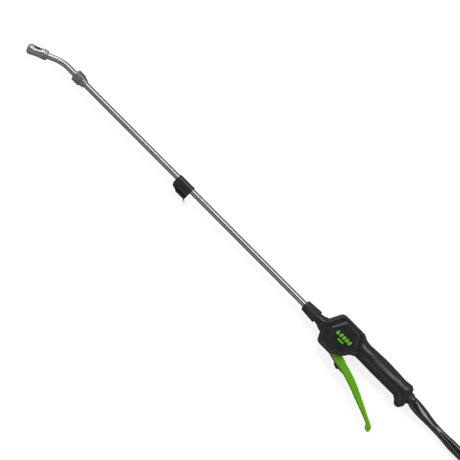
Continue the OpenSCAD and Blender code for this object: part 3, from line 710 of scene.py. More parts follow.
SHELL = Finish("shell_plastic", (0.010, 0.0098, 0.0102), (0.014, 0.0136, 0.014), (0.26, 0.34), bump=0.03)
COVER = Finish("cover_plastic", (0.009, 0.0088, 0.0092), (0.012, 0.0117, 0.012), (0.28, 0.36), bump=0.04,
               fineness=1800.0)
NUT = Finish("nut_plastic", (0.008, 0.0078, 0.008), (0.011, 0.0107, 0.011), (0.30, 0.42), bump=0.12)
GREEN = Finish("lever_plastic", (0.112, 0.42, 0.0), (0.122, 0.45, 0.0), (0.42, 0.52), bump=0.06, wear=0.1,
               specular=0.15)
MARK = Finish("mark_ink", (0.12, 0.46, 0.0), (0.13, 0.49, 0.001), (0.45, 0.55), bump=0.03, wear=0.0,
              specular=0.15)
TUBE = Finish("drawn_steel", (0.31, 0.289, 0.275), (0.38, 0.357, 0.342), (0.22, 0.30), Grain.DRAWN, 1.0, 0.25,
              fineness=2600.0, wear=0.1)
MACHINED = Finish("machined_steel", (0.28, 0.261, 0.249), (0.36, 0.339, 0.325), (0.28, 0.38),
                  Grain.TURNED, 1.0, 0.3, fineness=1800.0, wear=0.2, turn=(0.0, math.pi / 2, 0.0))
BRASS = Finish("turned_brass", (0.55, 0.38, 0.13), (0.66, 0.47, 0.18), (0.24, 0.36), Grain.TURNED, 1.0, 0.25,
               fineness=1800.0, wear=0.1)
NICKEL = Finish("nickel_plate", (0.50, 0.47, 0.42), (0.58, 0.55, 0.49), (0.18, 0.28), Grain.TURNED, 1.0, 0.15,
                fineness=1500.0, wear=0.1)
ZINC = Finish("zinc_plate", (0.42, 0.42, 0.43), (0.52, 0.52, 0.53), (0.3, 0.42), Grain.TURNED, 1.0, 0.2,
              fineness=1500.0, wear=0.1)
SEAL = Finish("seal_face", (0.012, 0.012, 0.012), (0.02, 0.02, 0.02), (0.55, 0.7), bump=0.2, wear=0.0)
HOSE = Finish("hose_skin", (0.006, 0.0058, 0.006), (0.009, 0.0087, 0.009), (0.14, 0.22), Grain.EXTRUDED,
              bump=0.02, fineness=60.0, wear=0.0, coat=0.7)


def dress(piece: bpy.types.Object, finish: Finish, body: str, slot: str, *nodes: str) -> bpy.types.Object:
    """Gives a piece its finish, and tells the frame what it rides on and stands for.

    Args:
        piece: the finished mesh.
        finish: its finish.
        body: the frame body that it rides on.
        slot: not used.
        nodes: the frame nodes that it stands for.

    Returns:
        The piece.
    """
    piece.data.materials.clear()
    piece.data.materials.append(finish.material())
    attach(piece, body)
    if nodes:
        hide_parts(*nodes)
    log.info("%s: %d faces, rides on %s", piece.name, len(piece.data.polygons), body)
    return piece


def dress_node(node: str, finish: Finish) -> None:
    """Gives a frame node that stays in sight a better material."""
    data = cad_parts[node].data
    data.materials.clear()
    data.materials.append(finish.material())
    log.info("%s keeps its own mesh", node)


# ---------------------------------------------------------------- studio


@dataclass
class Studio:
    """The camera straight above the gun's side, the lights and the pale floor."""

    centre: Point2 = (-240.9, -0.5)
    height: float = 3000.0
    view_width: float = 708.4
    roll: float = 45.1
    floor_half: float = 6000.0
    floor_glow: float = 0.82
    horizon: float = 0.6
    zenith: float = 0.1

    def make_camera(self) -> None:
        """A long lens straight above, turned so that the lance runs from corner to corner."""
        data = bpy.data.cameras.new("camera")
        data.sensor_width = 36.0
        data.lens = data.sensor_width * (self.height - AXIS_Z) / self.view_width
        data.clip_start, data.clip_end = 0.1, 40.0
        camera = bpy.data.objects.new("camera", data)
        camera.location = (self.centre[0] * MM, self.centre[1] * MM, self.height * MM)
        camera.rotation_euler = (0.0, 0.0, math.radians(self.roll))
        bpy.context.scene.collection.objects.link(camera)
        bpy.context.scene.camera = camera

    def make_floor(self) -> None:
        """A plain pale floor that the gun's side lies on."""
        half = self.floor_half * MM
        mesh = bpy.data.meshes.new("floor")
        mesh.from_pydata([(-half, -half, 0), (half, -half, 0), (half, half, 0), (-half, half, 0)], [],
                         [(0, 1, 2, 3)])
        floor = bpy.data.objects.new("floor", mesh)
        bpy.context.scene.collection.objects.link(floor)
        paint = bpy.data.materials.new("floor_paint")
        paint.use_nodes = True
        tree = paint.node_tree
        shader = tree.nodes["Principled BSDF"]
        seen = add_node(tree, "ShaderNodeLightPath").outputs["Is Camera Ray"]
        shade = add_node(tree, "ShaderNodeMapRange", {"Value": seen, "To Min": 0.3, "To Max": 0.35})
        glow = add_node(tree, "ShaderNodeMath", {0: seen, 1: self.floor_glow}, operation="MULTIPLY")
        tree.links.new(shade.outputs["Result"], shader.inputs["Base Color"])
        tree.links.new(glow.outputs[0], shader.inputs["Emission Strength"])
        shader.inputs["Emission Color"].default_value = (1.0, 1.0, 1.0, 1.0)
        shader.inputs["Roughness"].default_value = 0.9
        shader.inputs["Specular IOR Level"].default_value = 0.1
        mesh.materials.append(paint)

    def make_light(self, name: str, azimuth: float, elevation: float, distance: float,
                   size: Point2, power: float) -> None:
        """A soft panel that faces the middle of the lance.

        Args:
            name: the light's name.
            azimuth: the direction it stands in, in degrees from +X.
            elevation: its height in degrees above the floor.
            distance: how far away it stands, in metres.
            size: its width and height, in metres.
            power: its power in watts.
        """
        data = bpy.data.lights.new(name, "AREA")
        data.shape = "RECTANGLE"
        data.size, data.size_y = size
        data.energy = power
        light = bpy.data.objects.new(name, data)
        a, e = math.radians(azimuth), math.radians(elevation)
        way = Vector((math.cos(a) * math.cos(e), math.sin(a) * math.cos(e), math.sin(e)))
        target = Vector((self.centre[0] * MM, self.centre[1] * MM, AXIS_Z * MM))
        light.location = target + way * distance
        light.rotation_euler = way.to_track_quat("Z", "Y").to_euler()
        bpy.context.scene.collection.objects.link(light)

    def make_lights(self) -> None:
        """A key panel beyond the gun's back, a low side panel, a weak fill, and a room darkest overhead."""
        self.make_light("key_panel", 92.0, 55.0, 2.1, (3.6, 0.85), 42.0)
        self.make_light("side_panel", 140.0, 12.0, 2.2, (1.8, 0.5), 14.0)
        self.make_light("fill_panel", 272.0, 56.0, 2.4, (3.0, 0.25), 5.0)
        world = bpy.data.worlds.new("studio")
        world.use_nodes = True
        tree = world.node_tree
        back = tree.nodes["Background"]
        way = add_node(tree, "ShaderNodeTexCoord").outputs["Generated"]
        height = add_node(tree, "ShaderNodeSeparateXYZ", {0: way}).outputs["Z"]
        level = add_node(tree, "ShaderNodeMapRange", {"Value": height, "To Min": self.horizon,
                                                      "To Max": self.zenith})
        tree.links.new(level.outputs["Result"], back.inputs["Strength"])
        back.inputs["Color"].default_value = (1.0, 1.0, 1.0, 1.0)
        bpy.context.scene.world = world
        bpy.context.scene.view_settings.view_transform = "Standard"


# ---------------------------------------------------------------- lance


@dataclass
class Neck:
    """The bent neck with its union nut and the ferrule on the lance tube."""

    angle: float = 23.0
    bend_radius: float = 60.0
    lead: float = 12.0
    tail: float = 15.0
    socket: float = 3.0
    nut_flats: float = 17.3
    bend_steps: int = 24

    @property
    def bend_start(self) -> float:
        """Where the bend begins, along X."""
        return low("union_nut").x - self.lead

    @property
    def heading(self) -> np.ndarray:
        """The direction of the neck's end."""
        a = math.radians(self.angle)
        return np.array([-math.cos(a), -math.sin(a), 0.0])

    @property
    def end(self) -> np.ndarray:
        """The point where the nozzle's rear face lies."""
        a = math.radians(self.angle)
        bend = np.array([self.bend_start - self.bend_radius * math.sin(a),
                         -self.bend_radius * (1 - math.cos(a)), AXIS_Z])
        return bend + self.tail * self.heading

    def build_tube(self) -> None:
        """The neck's own tube."""
        angles = np.radians(self.angle) * np.linspace(0, 1, self.bend_steps + 1)
        bend = np.stack([self.bend_start - self.bend_radius * np.sin(angles),
                         -self.bend_radius * (1 - np.cos(angles)), np.full(len(angles), AXIS_Z)], 1)
        first = [[low("union_nut").x + 4, 0, AXIS_Z], [low("union_nut").x - 4, 0, AXIS_Z]]
        last = [self.end + self.heading * t for t in (-6.0, self.socket - 0.1)]
        line = np.concatenate([first, bend, last])
        turns = round_angles(64)
        circle = TUBE_R * np.stack([np.cos(turns), np.sin(turns)], 1)
        tube = swept("neck", line, lambda length: circle)
        soften(tube, 0)
        dress(tube, TUBE, "lance", "tube_steel", "neck_tube")

    def build_nut(self) -> None:
        """The hexagonal union nut: a short collar in front, and a chamfer, groove and ring behind."""
        x0, x1 = low("union_nut").x, high("union_nut").x
        corner = self.nut_flats / math.sqrt(3)
        neck_r = TUBE_R + 0.75
        cone = [(x0 + 0.2, neck_r - 0.35), (x0 + 0.5, neck_r - 0.05), (x0 + 2.2, neck_r),
                (x0 + 2.5, neck_r + 0.2), (x0 + 2.7, corner - 0.9)]
        cone += [(x0 + 2.7 + 0.8 * t, corner - 0.9 + 1.1 * t) for t in np.linspace(0.1, 1, 8)]
        rear = [(x1 - 4.0 + 1.3 * t, corner + 0.1 - 1.4 * t) for t in np.linspace(0, 1, 6)]
        rear += [(x1 - 2.6, 7.6), (x1 - 2.5, 7.3), (x1 - 1.9, 7.3), (x1 - 1.8, 7.6), (x1 - 1.7, 8.0),
                 (x1 - 0.4, 7.6), (x1 - 0.05, 7.2)]
        past_corners = 20.0
        flats = [(x, past_corners) for x in (x0 + 3.7, *np.linspace(x0 + 5.6, x1 - 4.3, 5))]
        stations = cone + flats + rear
        bore = [(x1, 7.1), (x0 + 3, 7.1), (x0 + 3, TUBE_R + 0.05), (x0, TUBE_R + 0.05)]
        nut = shaped_bar("union_nut_body", stations, hexagon(self.nut_flats / 2, 0.22), bore, ON_AXIS)
        soften(nut, 0, smooth_below=35)
        dress(nut, MACHINED, "lance", "satin_steel", "union_nut")

    def build_ferrule(self) -> None:
        """The ferrule's collar, grooved near its rear edge."""
        x0, x1 = high("union_nut").x, high("tube_ferrule").x
        r = 6.5
        outside = rounded([(x0 - 3, 5.1, 0), (x0 - 3, 6.2, 0), (x0 + 0.35, 6.2, 0), (x0 + 0.4, r + 1.4, 0.15),
                           (x1 - 2.4, r + 0.3, 0.25), (x1 - 2.1, r - 0.9, 0.1), (x1 - 1.3, r - 0.9, 0.1),
                           (x1 - 1.1, r - 0.1, 0.2), (x1 - 0.5, r - 0.2, 0.3), (x1, r - 0.8, 0.2),
                           (x1, 5.1, 0)], 3)
        ferrule = turned("ferrule_collar", outside, ON_AXIS)
        soften(ferrule, 0)
        dress(ferrule, MACHINED, "lance", "satin_steel", "tube_ferrule")

    def build(self) -> None:
        """Builds the neck's three pieces."""
        self.build_tube()
        self.build_nut()
        self.build_ferrule()


def hexagon(apothem: float, crown: float = 0.0,
            sharpness: float = 110.0) -> Callable[[np.ndarray, float], np.ndarray]:
    """The outside of a hexagonal bar with slightly worn corners and two flats facing up and down.

    Args:
        apothem: half the size across the flats.
        crown: how far the edges of each flat drop below its middle.
        sharpness: how crisp the corners are.

    Returns:
        A function from angles and a turned radius to the bar's radii.
    """

    def radii(angles: np.ndarray, turned_r: float) -> np.ndarray:
        """The smaller of the hexagon's and the turned radius, blended a little."""
        reach = (1 / turned_r) ** sharpness
        for k in range(6):
            off = angles - math.pi / 6 - k * math.pi / 3
            ahead = np.maximum(np.cos(off), 0)
            turn = np.clip((off + math.pi) % FULL_TURN - math.pi, -0.6, 0.6)
            bow = crown * (np.tan(turn) * math.sqrt(3)) ** 2
            reach = reach + (ahead / (apothem - bow)) ** sharpness
        return reach ** (-1 / sharpness)

    return radii


@dataclass
class Nozzle:
    """The adjustable nozzle on the neck's end: collar, turning shroud with two air windows."""

    neck: Neck
    waist: float = 7.7
    swell: float = 0.0052
    collar: float = 2.6
    gap: float = 0.3
    length: float = 29.0
    window: Point2 = (10.9, 21.4)
    window_width: float = 3.4
    lip_reach: float = 7.2

    @property
    def place(self) -> Matrix:
        """The nozzle's own axes, with X forwards from its rear face."""
        return along(tuple(self.neck.end), tuple(self.neck.heading))

    def radius(self, s: float) -> float:
        """The shroud's outside radius at a distance from the nozzle's rear face."""
        return self.waist + self.swell * (s - 14.5) ** 2

    def build_collar(self) -> None:
        """The fixed collar behind the shroud."""
        outside = rounded([(-1.4, TUBE_R + 0.05, 0), (-1.4, 6.1, 0.3), (-0.7, 6.9, 0.2), (-0.4, 6.9, 0.1),
                           (0.1, 8.0, 0.4), (self.collar, 8.2, 0.3),
                           (self.collar, 6.0, 0), (8.6, 6.0, 0), (8.6, 3, 0), (3, 3, 0),
                           (3, TUBE_R + 0.05, 0)], 4)
        stem = turned("nozzle_collar", outside, self.place)
        soften(stem, 0)
        dress(stem, MACHINED, "lance", "satin_steel", "nozzle_stem")

    def build_shroud(self) -> None:
        """The turning shroud, with two air windows and a milled lip below each."""
        s0, s1 = self.collar + self.gap, self.collar + self.gap + self.length
        outer = [(s, self.radius(s)) for s in s0 + 0.6 + (s1 - 5.6 - s0) * np.linspace(0, 1, 16)]
        front = [(s1 - 4.4, self.radius(s1 - 5) - 0.1), (s1 - 3.0, 8.0), (s1 - 1.4, 7.25), (s1 - 0.5, 6.65),
                 (s1 - 0.1, 6.3), (s1, 6.1)]
        inner = [(s1 - 0.05, 5.95), (s1 - 0.4, 5.8), (s1 - 6, 4.3), (s1 - 6.2, 4.2), (10.7, 4.2),
                 (10.7, 6.06), (s0, 6.06)]
        rear_r = self.radius(s0)
        rear = [(s0, rear_r - 0.6), (s0 + 0.1, rear_r - 0.25), (s0 + 0.35, rear_r - 0.05)]
        shroud = turned("nozzle_sleeve", rear + outer + front + inner, self.place, 96)
        for turn in (45.0, 225.0):
            self.cut_window(shroud, turn)
        soften(shroud, 0.18, 2, 30)
        dress(shroud, MACHINED, "nozzle_shroud", "satin_steel", "nozzle_shroud")

    def cut_window(self, shroud: bpy.types.Object, turn: float) -> None:
        """Mills one air window and its lip.

        Args:
            shroud: the shroud's mesh, still without windows on this side.
            turn: the window's middle, in degrees from straight up.
        """
        a, b = self.window
        half = self.window_width / 2
        slot = rounded([(a, -half, 1.2), (b, -half, 1.2), (b, half, 1.2), (a, half, 1.2)], 5)
        spin = Matrix.Rotation(math.radians(turn), 4, "X")
        cutter = mesh_piece("window_cutter", *prism(slot, 3.0, 12.0), self.place @ spin)
        combine(shroud, cutter, Cut.TAKE)
        flat = rounded([(a - 0.4, -6, 0.8), (b + 0.4, -6, 0.8), (b + 0.4, 6, 0.8), (a - 0.4, 6, 0.8)], 4)
        tilt = Matrix.Rotation(math.radians(turn - 20.0), 4, "X")
        lip = mesh_piece("lip_cutter", *prism(flat, self.lip_reach, 12.0), self.place @ tilt)
        combine(shroud, lip, Cut.TAKE)

    def build(self) -> None:
        """Builds the nozzle's pieces."""
        self.build_collar()
        self.build_shroud()
        dress_node("nozzle_tip", BRASS)
        dress_node("nozzle_oring", SEAL)
        dress_node("swirl_core", BRASS)


@dataclass
class LanceTube:
    """The straight tube."""

    bore: float = 4.0

    def build(self) -> None:
        """A drawn tube with a bore and softened ends."""
        x0, x1 = low("lance_tube").x, high("lance_tube").x
        steps = np.linspace(x0 + 0.4, x1 - 0.4, 24)
        outside = [(x0, TUBE_R - 0.3)] + [(x, TUBE_R) for x in steps] + [(x1, TUBE_R - 0.3)]
        tube = turned("straight_tube", outside + [(x1, self.bore), (x0, self.bore)], ON_AXIS, 96)
        soften(tube, 0)
        dress(tube, TUBE, "lance", "tube_steel", "lance_tube")


@dataclass
class ParkingClip:
    """The clip that slides on the tube, with a wing that holds the lance to the tank."""

    ring_r: float = 6.5
    wing_half: float = 6.0
    lip: float = 3.2
    groove: float = 2.4

    def build(self) -> None:
        """A ring and a wing in one, grooved along the wing's edge."""
        x0, x1, y0 = low("parking_clip").x + 0.8, high("parking_clip").x, low("parking_clip").y
        outside = rounded([(x0, TUBE_R + 0.05, 0), (x0, self.ring_r, 0.7), (x1, self.ring_r, 0.7),
                           (x1, TUBE_R + 0.05, 0)], 4)
        clip = turned("clip_body", outside, ON_AXIS, 96)
        plan = rounded([(x0, 0, 0), (x0 - 0.7, y0 / 2, 4), (x0 + 2.2, y0 + 3.9, 1.5), (x0 + 8.5, y0 + 2.3, 2),
                        (x0 + 12.5, y0, 1.5), (x1, y0, 0.8), (x1, 0, 0)], 4)
        wing = edge_rounded_plate("clip_wing", plan, self.wing_half, np.full(len(plan), 1.1), ON_AXIS)
        bore_r = TUBE_R + 0.05
        bore = turned("clip_bore", [(x0 - 5, 0), (x0 - 5, bore_r), (x1 + 5, bore_r), (x1 + 5, 0)],
                      ON_AXIS, 96)
        combine(clip, wing, Cut.ADD)
        combine(clip, bore, Cut.TAKE)
        start = y0 + self.lip
        line = rounded([(x0 + 6.5, start - 0.2, 1.0), (x0 + 11, start, 1.5), (x1 + 3, start, 0),
                        (x1 + 3, start + self.groove, 0), (x0 + 10, start + self.groove, 1.5),
                        (x0 + 6.5, start + self.groove - 0.2, 1.0)], 4)
        combine(clip, mesh_piece("clip_groove", *prism(line, -1.5, 10.0), ON_AXIS), Cut.TAKE)
        soften(clip, 0.3, 2, 40)
        dress(clip, NUT, "parking_clip", "nut_black", "parking_clip")


@dataclass
class LanceNut:
    """The fluted plastic nut that holds the lance in the gun."""

    flutes: float = 10.0
    flute_depth: float = 1.35

    def build(self) -> None:
        """A tapered sleeve with flutes pressed along it."""
        x0, x1 = low("lance_nut").x, high("lance_nut").x
        r1 = (high("lance_nut").y - low("lance_nut").y) / 2 + 0.12
        r0 = r1 - 1.8
        nose = rounded([(x0, TUBE_R + 0.35, 0), (x0, TUBE_R + 1.0, 0.3), (x0 + 1.0, r0 - 1.3, 1.4),
                        (x0 + 3.4, r0, 2.0), (x1 - 0.3, r1, 0.6), (x1, r1 - 0.6, 0.3), (x1, 7.1, 0),
                        (x0 + 4, 7.1, 0), (x0 + 4, TUBE_R + 0.35, 0)], 6)
        side = [(x0 + 4.5 + (x1 - x0 - 6) * t, r0 + (r1 - r0) * (1.1 + (x1 - x0 - 6) * t) / (x1 - x0 - 3.7))
                for t in np.linspace(0, 1, 20)]
        before = [p for p in nose if p[0] < x0 + 4.4 and p[1] > TUBE_R + 0.4]
        after = [p for p in nose if p[0] > x1 - 1.2]
        inside = [(x0 + 4, 7.1), (x0 + 4, TUBE_R + 0.35), (x0, TUBE_R + 0.35)]
        nut = turned("lance_nut_body", before + side + after + inside, ON_AXIS, 240)
        run_nodes(nut, flute_tree(), {
            "Count": self.flutes, "Depth": self.flute_depth * MM, "Start": (x0 + 3.2) * MM, "Fade": 3.0 * MM,
            "Inner radius": 7.3 * MM, "Height": AXIS_Z * MM, "Finish": NUT.material()})
        soften(nut, 0)
        dress(nut, NUT, "lance_nut", "nut_black", "lance_nut")


# ---------------------------------------------------------------- gun


@dataclass
class GunCase:
    """The two shells of the gun and the hexagonal cover on each side."""

    centre: Point2 = (-2.0, 4.0)
    points_round: int = 420
    seat_gap: float = 0.3
    cover_r: float = 26.5
    cover_y: float = 5.5
    parting: float = 0.1
    squareness: float = 2.15
    screw_spots: tuple[Point2, ...] = ((-27, 20), (14, 26), (-25, -12), (62, 23.5), (95, 2.8))

    @property
    def outline(self) -> Outline:
        """The body's outline, with the cut-away for the hand at its lower right."""
        return rounded([(-40, 3.5, 8), (-25, 33.5, 9), (21, 33.5, 5), (34.5, 6.5, 4), (31, -2.2, 3),
                        (24, -6, 3), (18.8, -14, 4), (13.5, -18.2, 3), (7.2, -19.4, 2), (1.2, -26.5, 1.2),
                        (-25, -26.5, 8)], 8)

    @property
    def cover_outline(self) -> Outline:
        """The side cover's hexagon."""
        corners = [(-1, 0), (-0.57, 1), (0.5, 1), (1, 0), (0.5, -1), (-0.57, -1)]
        half_height = self.cover_r * 0.866
        return rounded([(self.cover_r * x, self.cover_y + half_height * y, 3) for x, y in corners], 8)

    def ring(self, angles: np.ndarray, lengths: np.ndarray, z: float) -> np.ndarray:
        """A ring round the centre, at a height above the lance axis and a length for each angle."""
        return np.stack([self.centre[0] + lengths * np.cos(angles), self.centre[1] + lengths * np.sin(angles),
                         np.full(len(angles), z)], 1)

    def body_solid(self) -> bpy.types.Object:
        """The hexagonal body with its sloping rims, channels and seats for the covers."""
        a = round_angles(self.points_round)
        seat = ray_lengths(self.cover_outline, self.centre, -self.seat_gap, a)
        rim = [(0.0, 0.5), (0.0, 11.5), (0.12, 12.8), (0.4, 13.9), (0.85, 14.9), (2.95, 17.6), (3.2, 17.85),
               (3.5, 18.0), (3.8, 17.95), (4.0, 17.7), (4.25, 17.2), (4.6, 17.05)]
        upper = []
        for i, (inset, z) in enumerate(rim):
            outside = ray_lengths(self.outline, self.centre, inset, a)
            upper.append(self.ring(a, np.maximum(outside, seat + 0.05 * (len(rim) - i)), z))
        upper += [self.ring(a, seat, 16.9), self.ring(a, seat, 15.9)]
        lower = [r * np.array([1, 1, -1]) for r in reversed(upper)]
        return mesh_piece("gun_case", *skin(lower + upper), ON_AXIS)

    def grip_solid(self, x_end: float) -> bpy.types.Object:
        """The grip with its flare at the body and its two long ridges."""
        stations = curve_through([
            (12, 33, -9, 16.5), (20, 33, -7.5, 16.4), (24, 31.6, -6.0, 16.0), (28, 29.7, -3.3, 15.2),
            (33, 28.5, -1.9, 14.6), (40, 28.1, -1.7, 14.2), (56, 28.8, -1.9, 14.0), (74, 29.4, -2.1, 14.0),
            (96, 28.8, -2.0, 13.9), (112, 28.1, -1.9, 13.6), (x_end, 28.0, -2.0, 13.5)], 14)
        a = round_angles(300)
        c, s = np.cos(a), np.sin(a)
        power = 2 / self.squareness
        rings = []
        for x, top, bottom, thick in stations:
            y = (top + bottom) / 2 + (top - bottom) / 2 * np.sign(c) * np.abs(c) ** power
            z = thick * np.sign(s) * np.abs(s) ** power
            lift = self.ridge_height(x, y)
            z += np.sign(s) * lift * np.abs(s)
            rings.append(np.stack([np.full(len(a), x), y + lift * c * 0.4, z], 1))
        return mesh_piece("grip_solid", *skin(rings), ON_AXIS)

    @staticmethod
    def ridge_height(x: float, y: np.ndarray) -> np.ndarray:
        """How far the grip's long finger ridges stand out at a place on its side."""
        total = np.zeros(len(y))
        for start, end, y0, y1, height in ((38, 112, 16.2, 21.0, 0.8), (48, 108, 9.6, 14.6, 0.75)):
            share = (x - start) / (end - start)
            line = y0 + (y1 - y0) * share + 0.6 * math.sin(math.pi * np.clip(share, 0, 1))
            fade = smooth_step(min(share, 1 - share) * 4)
            above = y - line
            total += height * fade * smooth_step(above / 0.5 + 0.5) * np.exp(-np.maximum(above, 0) / 4.0)
        return total

    def snout_solid(self) -> bpy.types.Object:
        """The round nose that the lance nut screws on to."""
        x = high("lance_nut").x + 0.3
        outside = rounded([(x, 0, 0), (x, 8.3, 0.3), (x + 4.2, 8.3, 0.3), (x + 4.8, 9.2, 0.3),
                           (x + 6.6, 9.3, 0.3), (x + 6.9, 8.6, 0.2), (x + 7.9, 8.6, 0.2), (x + 8.3, 10.2, 0.5),
                           (x + 15.6, 12.4, 1.5), (x + 24, 12.8, 0), (x + 24, 0, 0)], 4)
        return turned("snout_solid", outside, ON_AXIS, 96)

    def cavity_solid(self) -> bpy.types.Object:
        """The room inside the body, with the screws' bosses left standing in it."""
        a = round_angles(self.points_round)[::4]
        wall = 2.2
        layers = [(wall + 2.5, -13.5), (wall, -10.5), (wall, 10.5), (wall + 2.5, 13.5)]
        rings = [self.ring(a, ray_lengths(self.outline, self.centre, inset, a), z) for inset, z in layers]
        room = mesh_piece("cavity", *skin(rings), ON_AXIS)
        stations = [(8, 15.0, 13.0), (24, 15.0, 13.0), (40, 12.7, 11.8), (118, 12.7, 11.4)]
        b = round_angles(48)
        tunnel = [np.stack([np.full(48, x), 13.3 + w * np.cos(b), t * np.sin(b)], 1) for x, w, t in stations]
        combine(room, mesh_piece("tunnel", *skin(tunnel), ON_AXIS), Cut.ADD)
        for x, y in self.screw_spots:
            combine(room, post("boss", x, y, 4.3, -20, 20), Cut.TAKE)
        return room

    def build_shells(self) -> None:
        """Both shells, hollow, with the trigger's slot and the screws' holes."""
        x_end = low("butt_cap").x
        whole = self.body_solid()
        combine(whole, self.grip_solid(x_end), Cut.ADD)
        combine(whole, self.snout_solid(), Cut.ADD)
        combine(whole, self.cavity_solid(), Cut.TAKE)
        half_slot = 7.2
        slot = box_solid("slot", (-6, -40, AXIS_Z - half_slot), (36, -4.5, AXIS_Z + half_slot))
        combine(whole, slot, Cut.TAKE)
        bore = turned("bore", [(-60, 0), (-60, 7.1), (-12, 7.1), (-12, 0)], ON_AXIS, 64)
        combine(whole, bore, Cut.TAKE)
        for side, name, node in ((1, "upper_shell", "shell_upper"), (-1, "lower_shell", "shell_lower")):
            shell = whole.copy()
            shell.data = whole.data.copy()
            shell.name = name
            bpy.context.scene.collection.objects.link(shell)
            edge = AXIS_Z + side * self.parting
            span = (edge, 100) if side > 0 else (-100, edge)
            combine(shell, box_solid("keep", (-300, -200, span[0]), (300, 200, span[1])), Cut.KEEP)
            if side < 0:
                for x, y in self.screw_spots:
                    combine(shell, post("screw_hole", x, y, 3.15, -30, -8), Cut.TAKE)
            soften(shell, 0.22, 2, 42)
            dress(shell, SHELL, "gun", "shell_black", node)
        drop(whole)

    def build_covers(self) -> None:
        """The two hexagonal side covers, each with a sloping edge."""
        a = round_angles(self.points_round)
        edge = [(0.3, 17.0), (0.0, 17.2), (0.0, 17.75), (0.12, 17.95), (2.5, 19.8), (2.75, 19.93),
                (3.05, 20.0), (6.0, 20.0)]
        for side, name, node in ((1, "upper_cover", "side_cover_upper"),
                                 (-1, "lower_cover", "side_cover_lower")):
            rings = [self.ring(a, ray_lengths(self.cover_outline, self.centre, inset, a), side * z)
                     for inset, z in edge]
            cover = mesh_piece(name, *skin(rings), ON_AXIS)
            soften(cover, 0)
            dress(cover, COVER, "gun", "cover_black", node)

    def build_screws(self) -> None:
        """The screw heads in the lower shell, on the frame's five shanks."""
        z = low("shell_screws").z + 1.1
        heads = mesh_piece("screw_heads", [(x, y, z) for x, y in self.screw_spots], [])
        run_nodes(heads, screw_tree(), {"Head radius": 2.8 * MM, "Head height": 2.2 * MM, "Recess": 3.4 * MM,
                                        "Finish": ZINC.material()})
        soften(heads, 0.12, 2, 40)
        dress(heads, ZINC, "gun", "hard_steel", "shell_screws")

    def build(self) -> None:
        """Builds the case and dresses what it holds."""
        self.build_shells()
        self.build_covers()
        self.build_screws()
        for node, finish in (("valve_body", BRASS), ("valve_cap", BRASS), ("valve_stem", BRASS),
                             ("valve_cap_seal", SEAL), ("valve_seat_ring", SEAL), ("stem_seal", SEAL),
                             ("valve_spring", ZINC), ("trigger_pin", ZINC), ("grip_pipe", TUBE),
                             ("inlet_filter", BRASS), ("lance_collet", NUT), ("lance_oring", SEAL),
                             ("neck_seal", SEAL)):
            dress_node(node, finish)


def post(name: str, x: float, y: float, r: float, z0: float, z1: float) -> bpy.types.Object:
    """An upright cylinder at heights measured from the lance axis, used as a cutter."""
    a = round_angles(40)
    circle = np.stack([x + r * np.cos(a), y + r * np.sin(a)], 1)
    return mesh_piece(name, *prism(circle, z0, z1), ON_AXIS)


@dataclass
class SideMark:
    """A plain printed mark on the upper cover: a drop, four dashes and a bar below them."""

    height: float = 0.06
    left: float = -15.8
    top: float = 10.3
    bottom: float = 3.0

    def plate(self, name: str, outline: Outline) -> bpy.types.Object:
        """A thin print with the given outline on the cover's face."""
        face = high("side_cover_upper").z
        return mesh_piece(name, *prism(outline, face - 0.02, face + self.height))

    def build(self) -> None:
        """Builds the drop, the dashes and the bar."""
        tall = self.top - self.bottom
        x, y, r = self.left + 2.6, self.bottom + 2.5, 2.5
        arc = [(x + r * math.cos(t), y + r * math.sin(t))
               for t in np.linspace(math.radians(150), math.radians(390), 28)]
        drop_shape = self.plate("mark_drop", arc + [(x, self.bottom + tall)])
        dash = rounded([(-9.4, self.bottom + 0.5, 1.1), (-5.2, self.bottom + 0.5, 1.1),
                        (-3.6, self.top - 0.5, 1.1), (-7.8, self.top - 0.5, 1.1)], 5)
        dashes = self.plate("mark_dashes", dash)
        run_nodes(dashes, repeat_tree(),
                  {"Count": 4, "Step": (5.9 * MM, 0.0, 0.0), "Finish": MARK.material()})
        bar = self.plate("mark_bar", rounded([(-7, -2.0, 0.9), (4.2, -2.0, 0.9), (4.2, 0.6, 0.9),
                                              (-7, 0.6, 0.9)], 5))
        for piece in (drop_shape, dashes, bar):
            soften(piece, 0)
            dress(piece, MARK, "gun", "trigger_green")


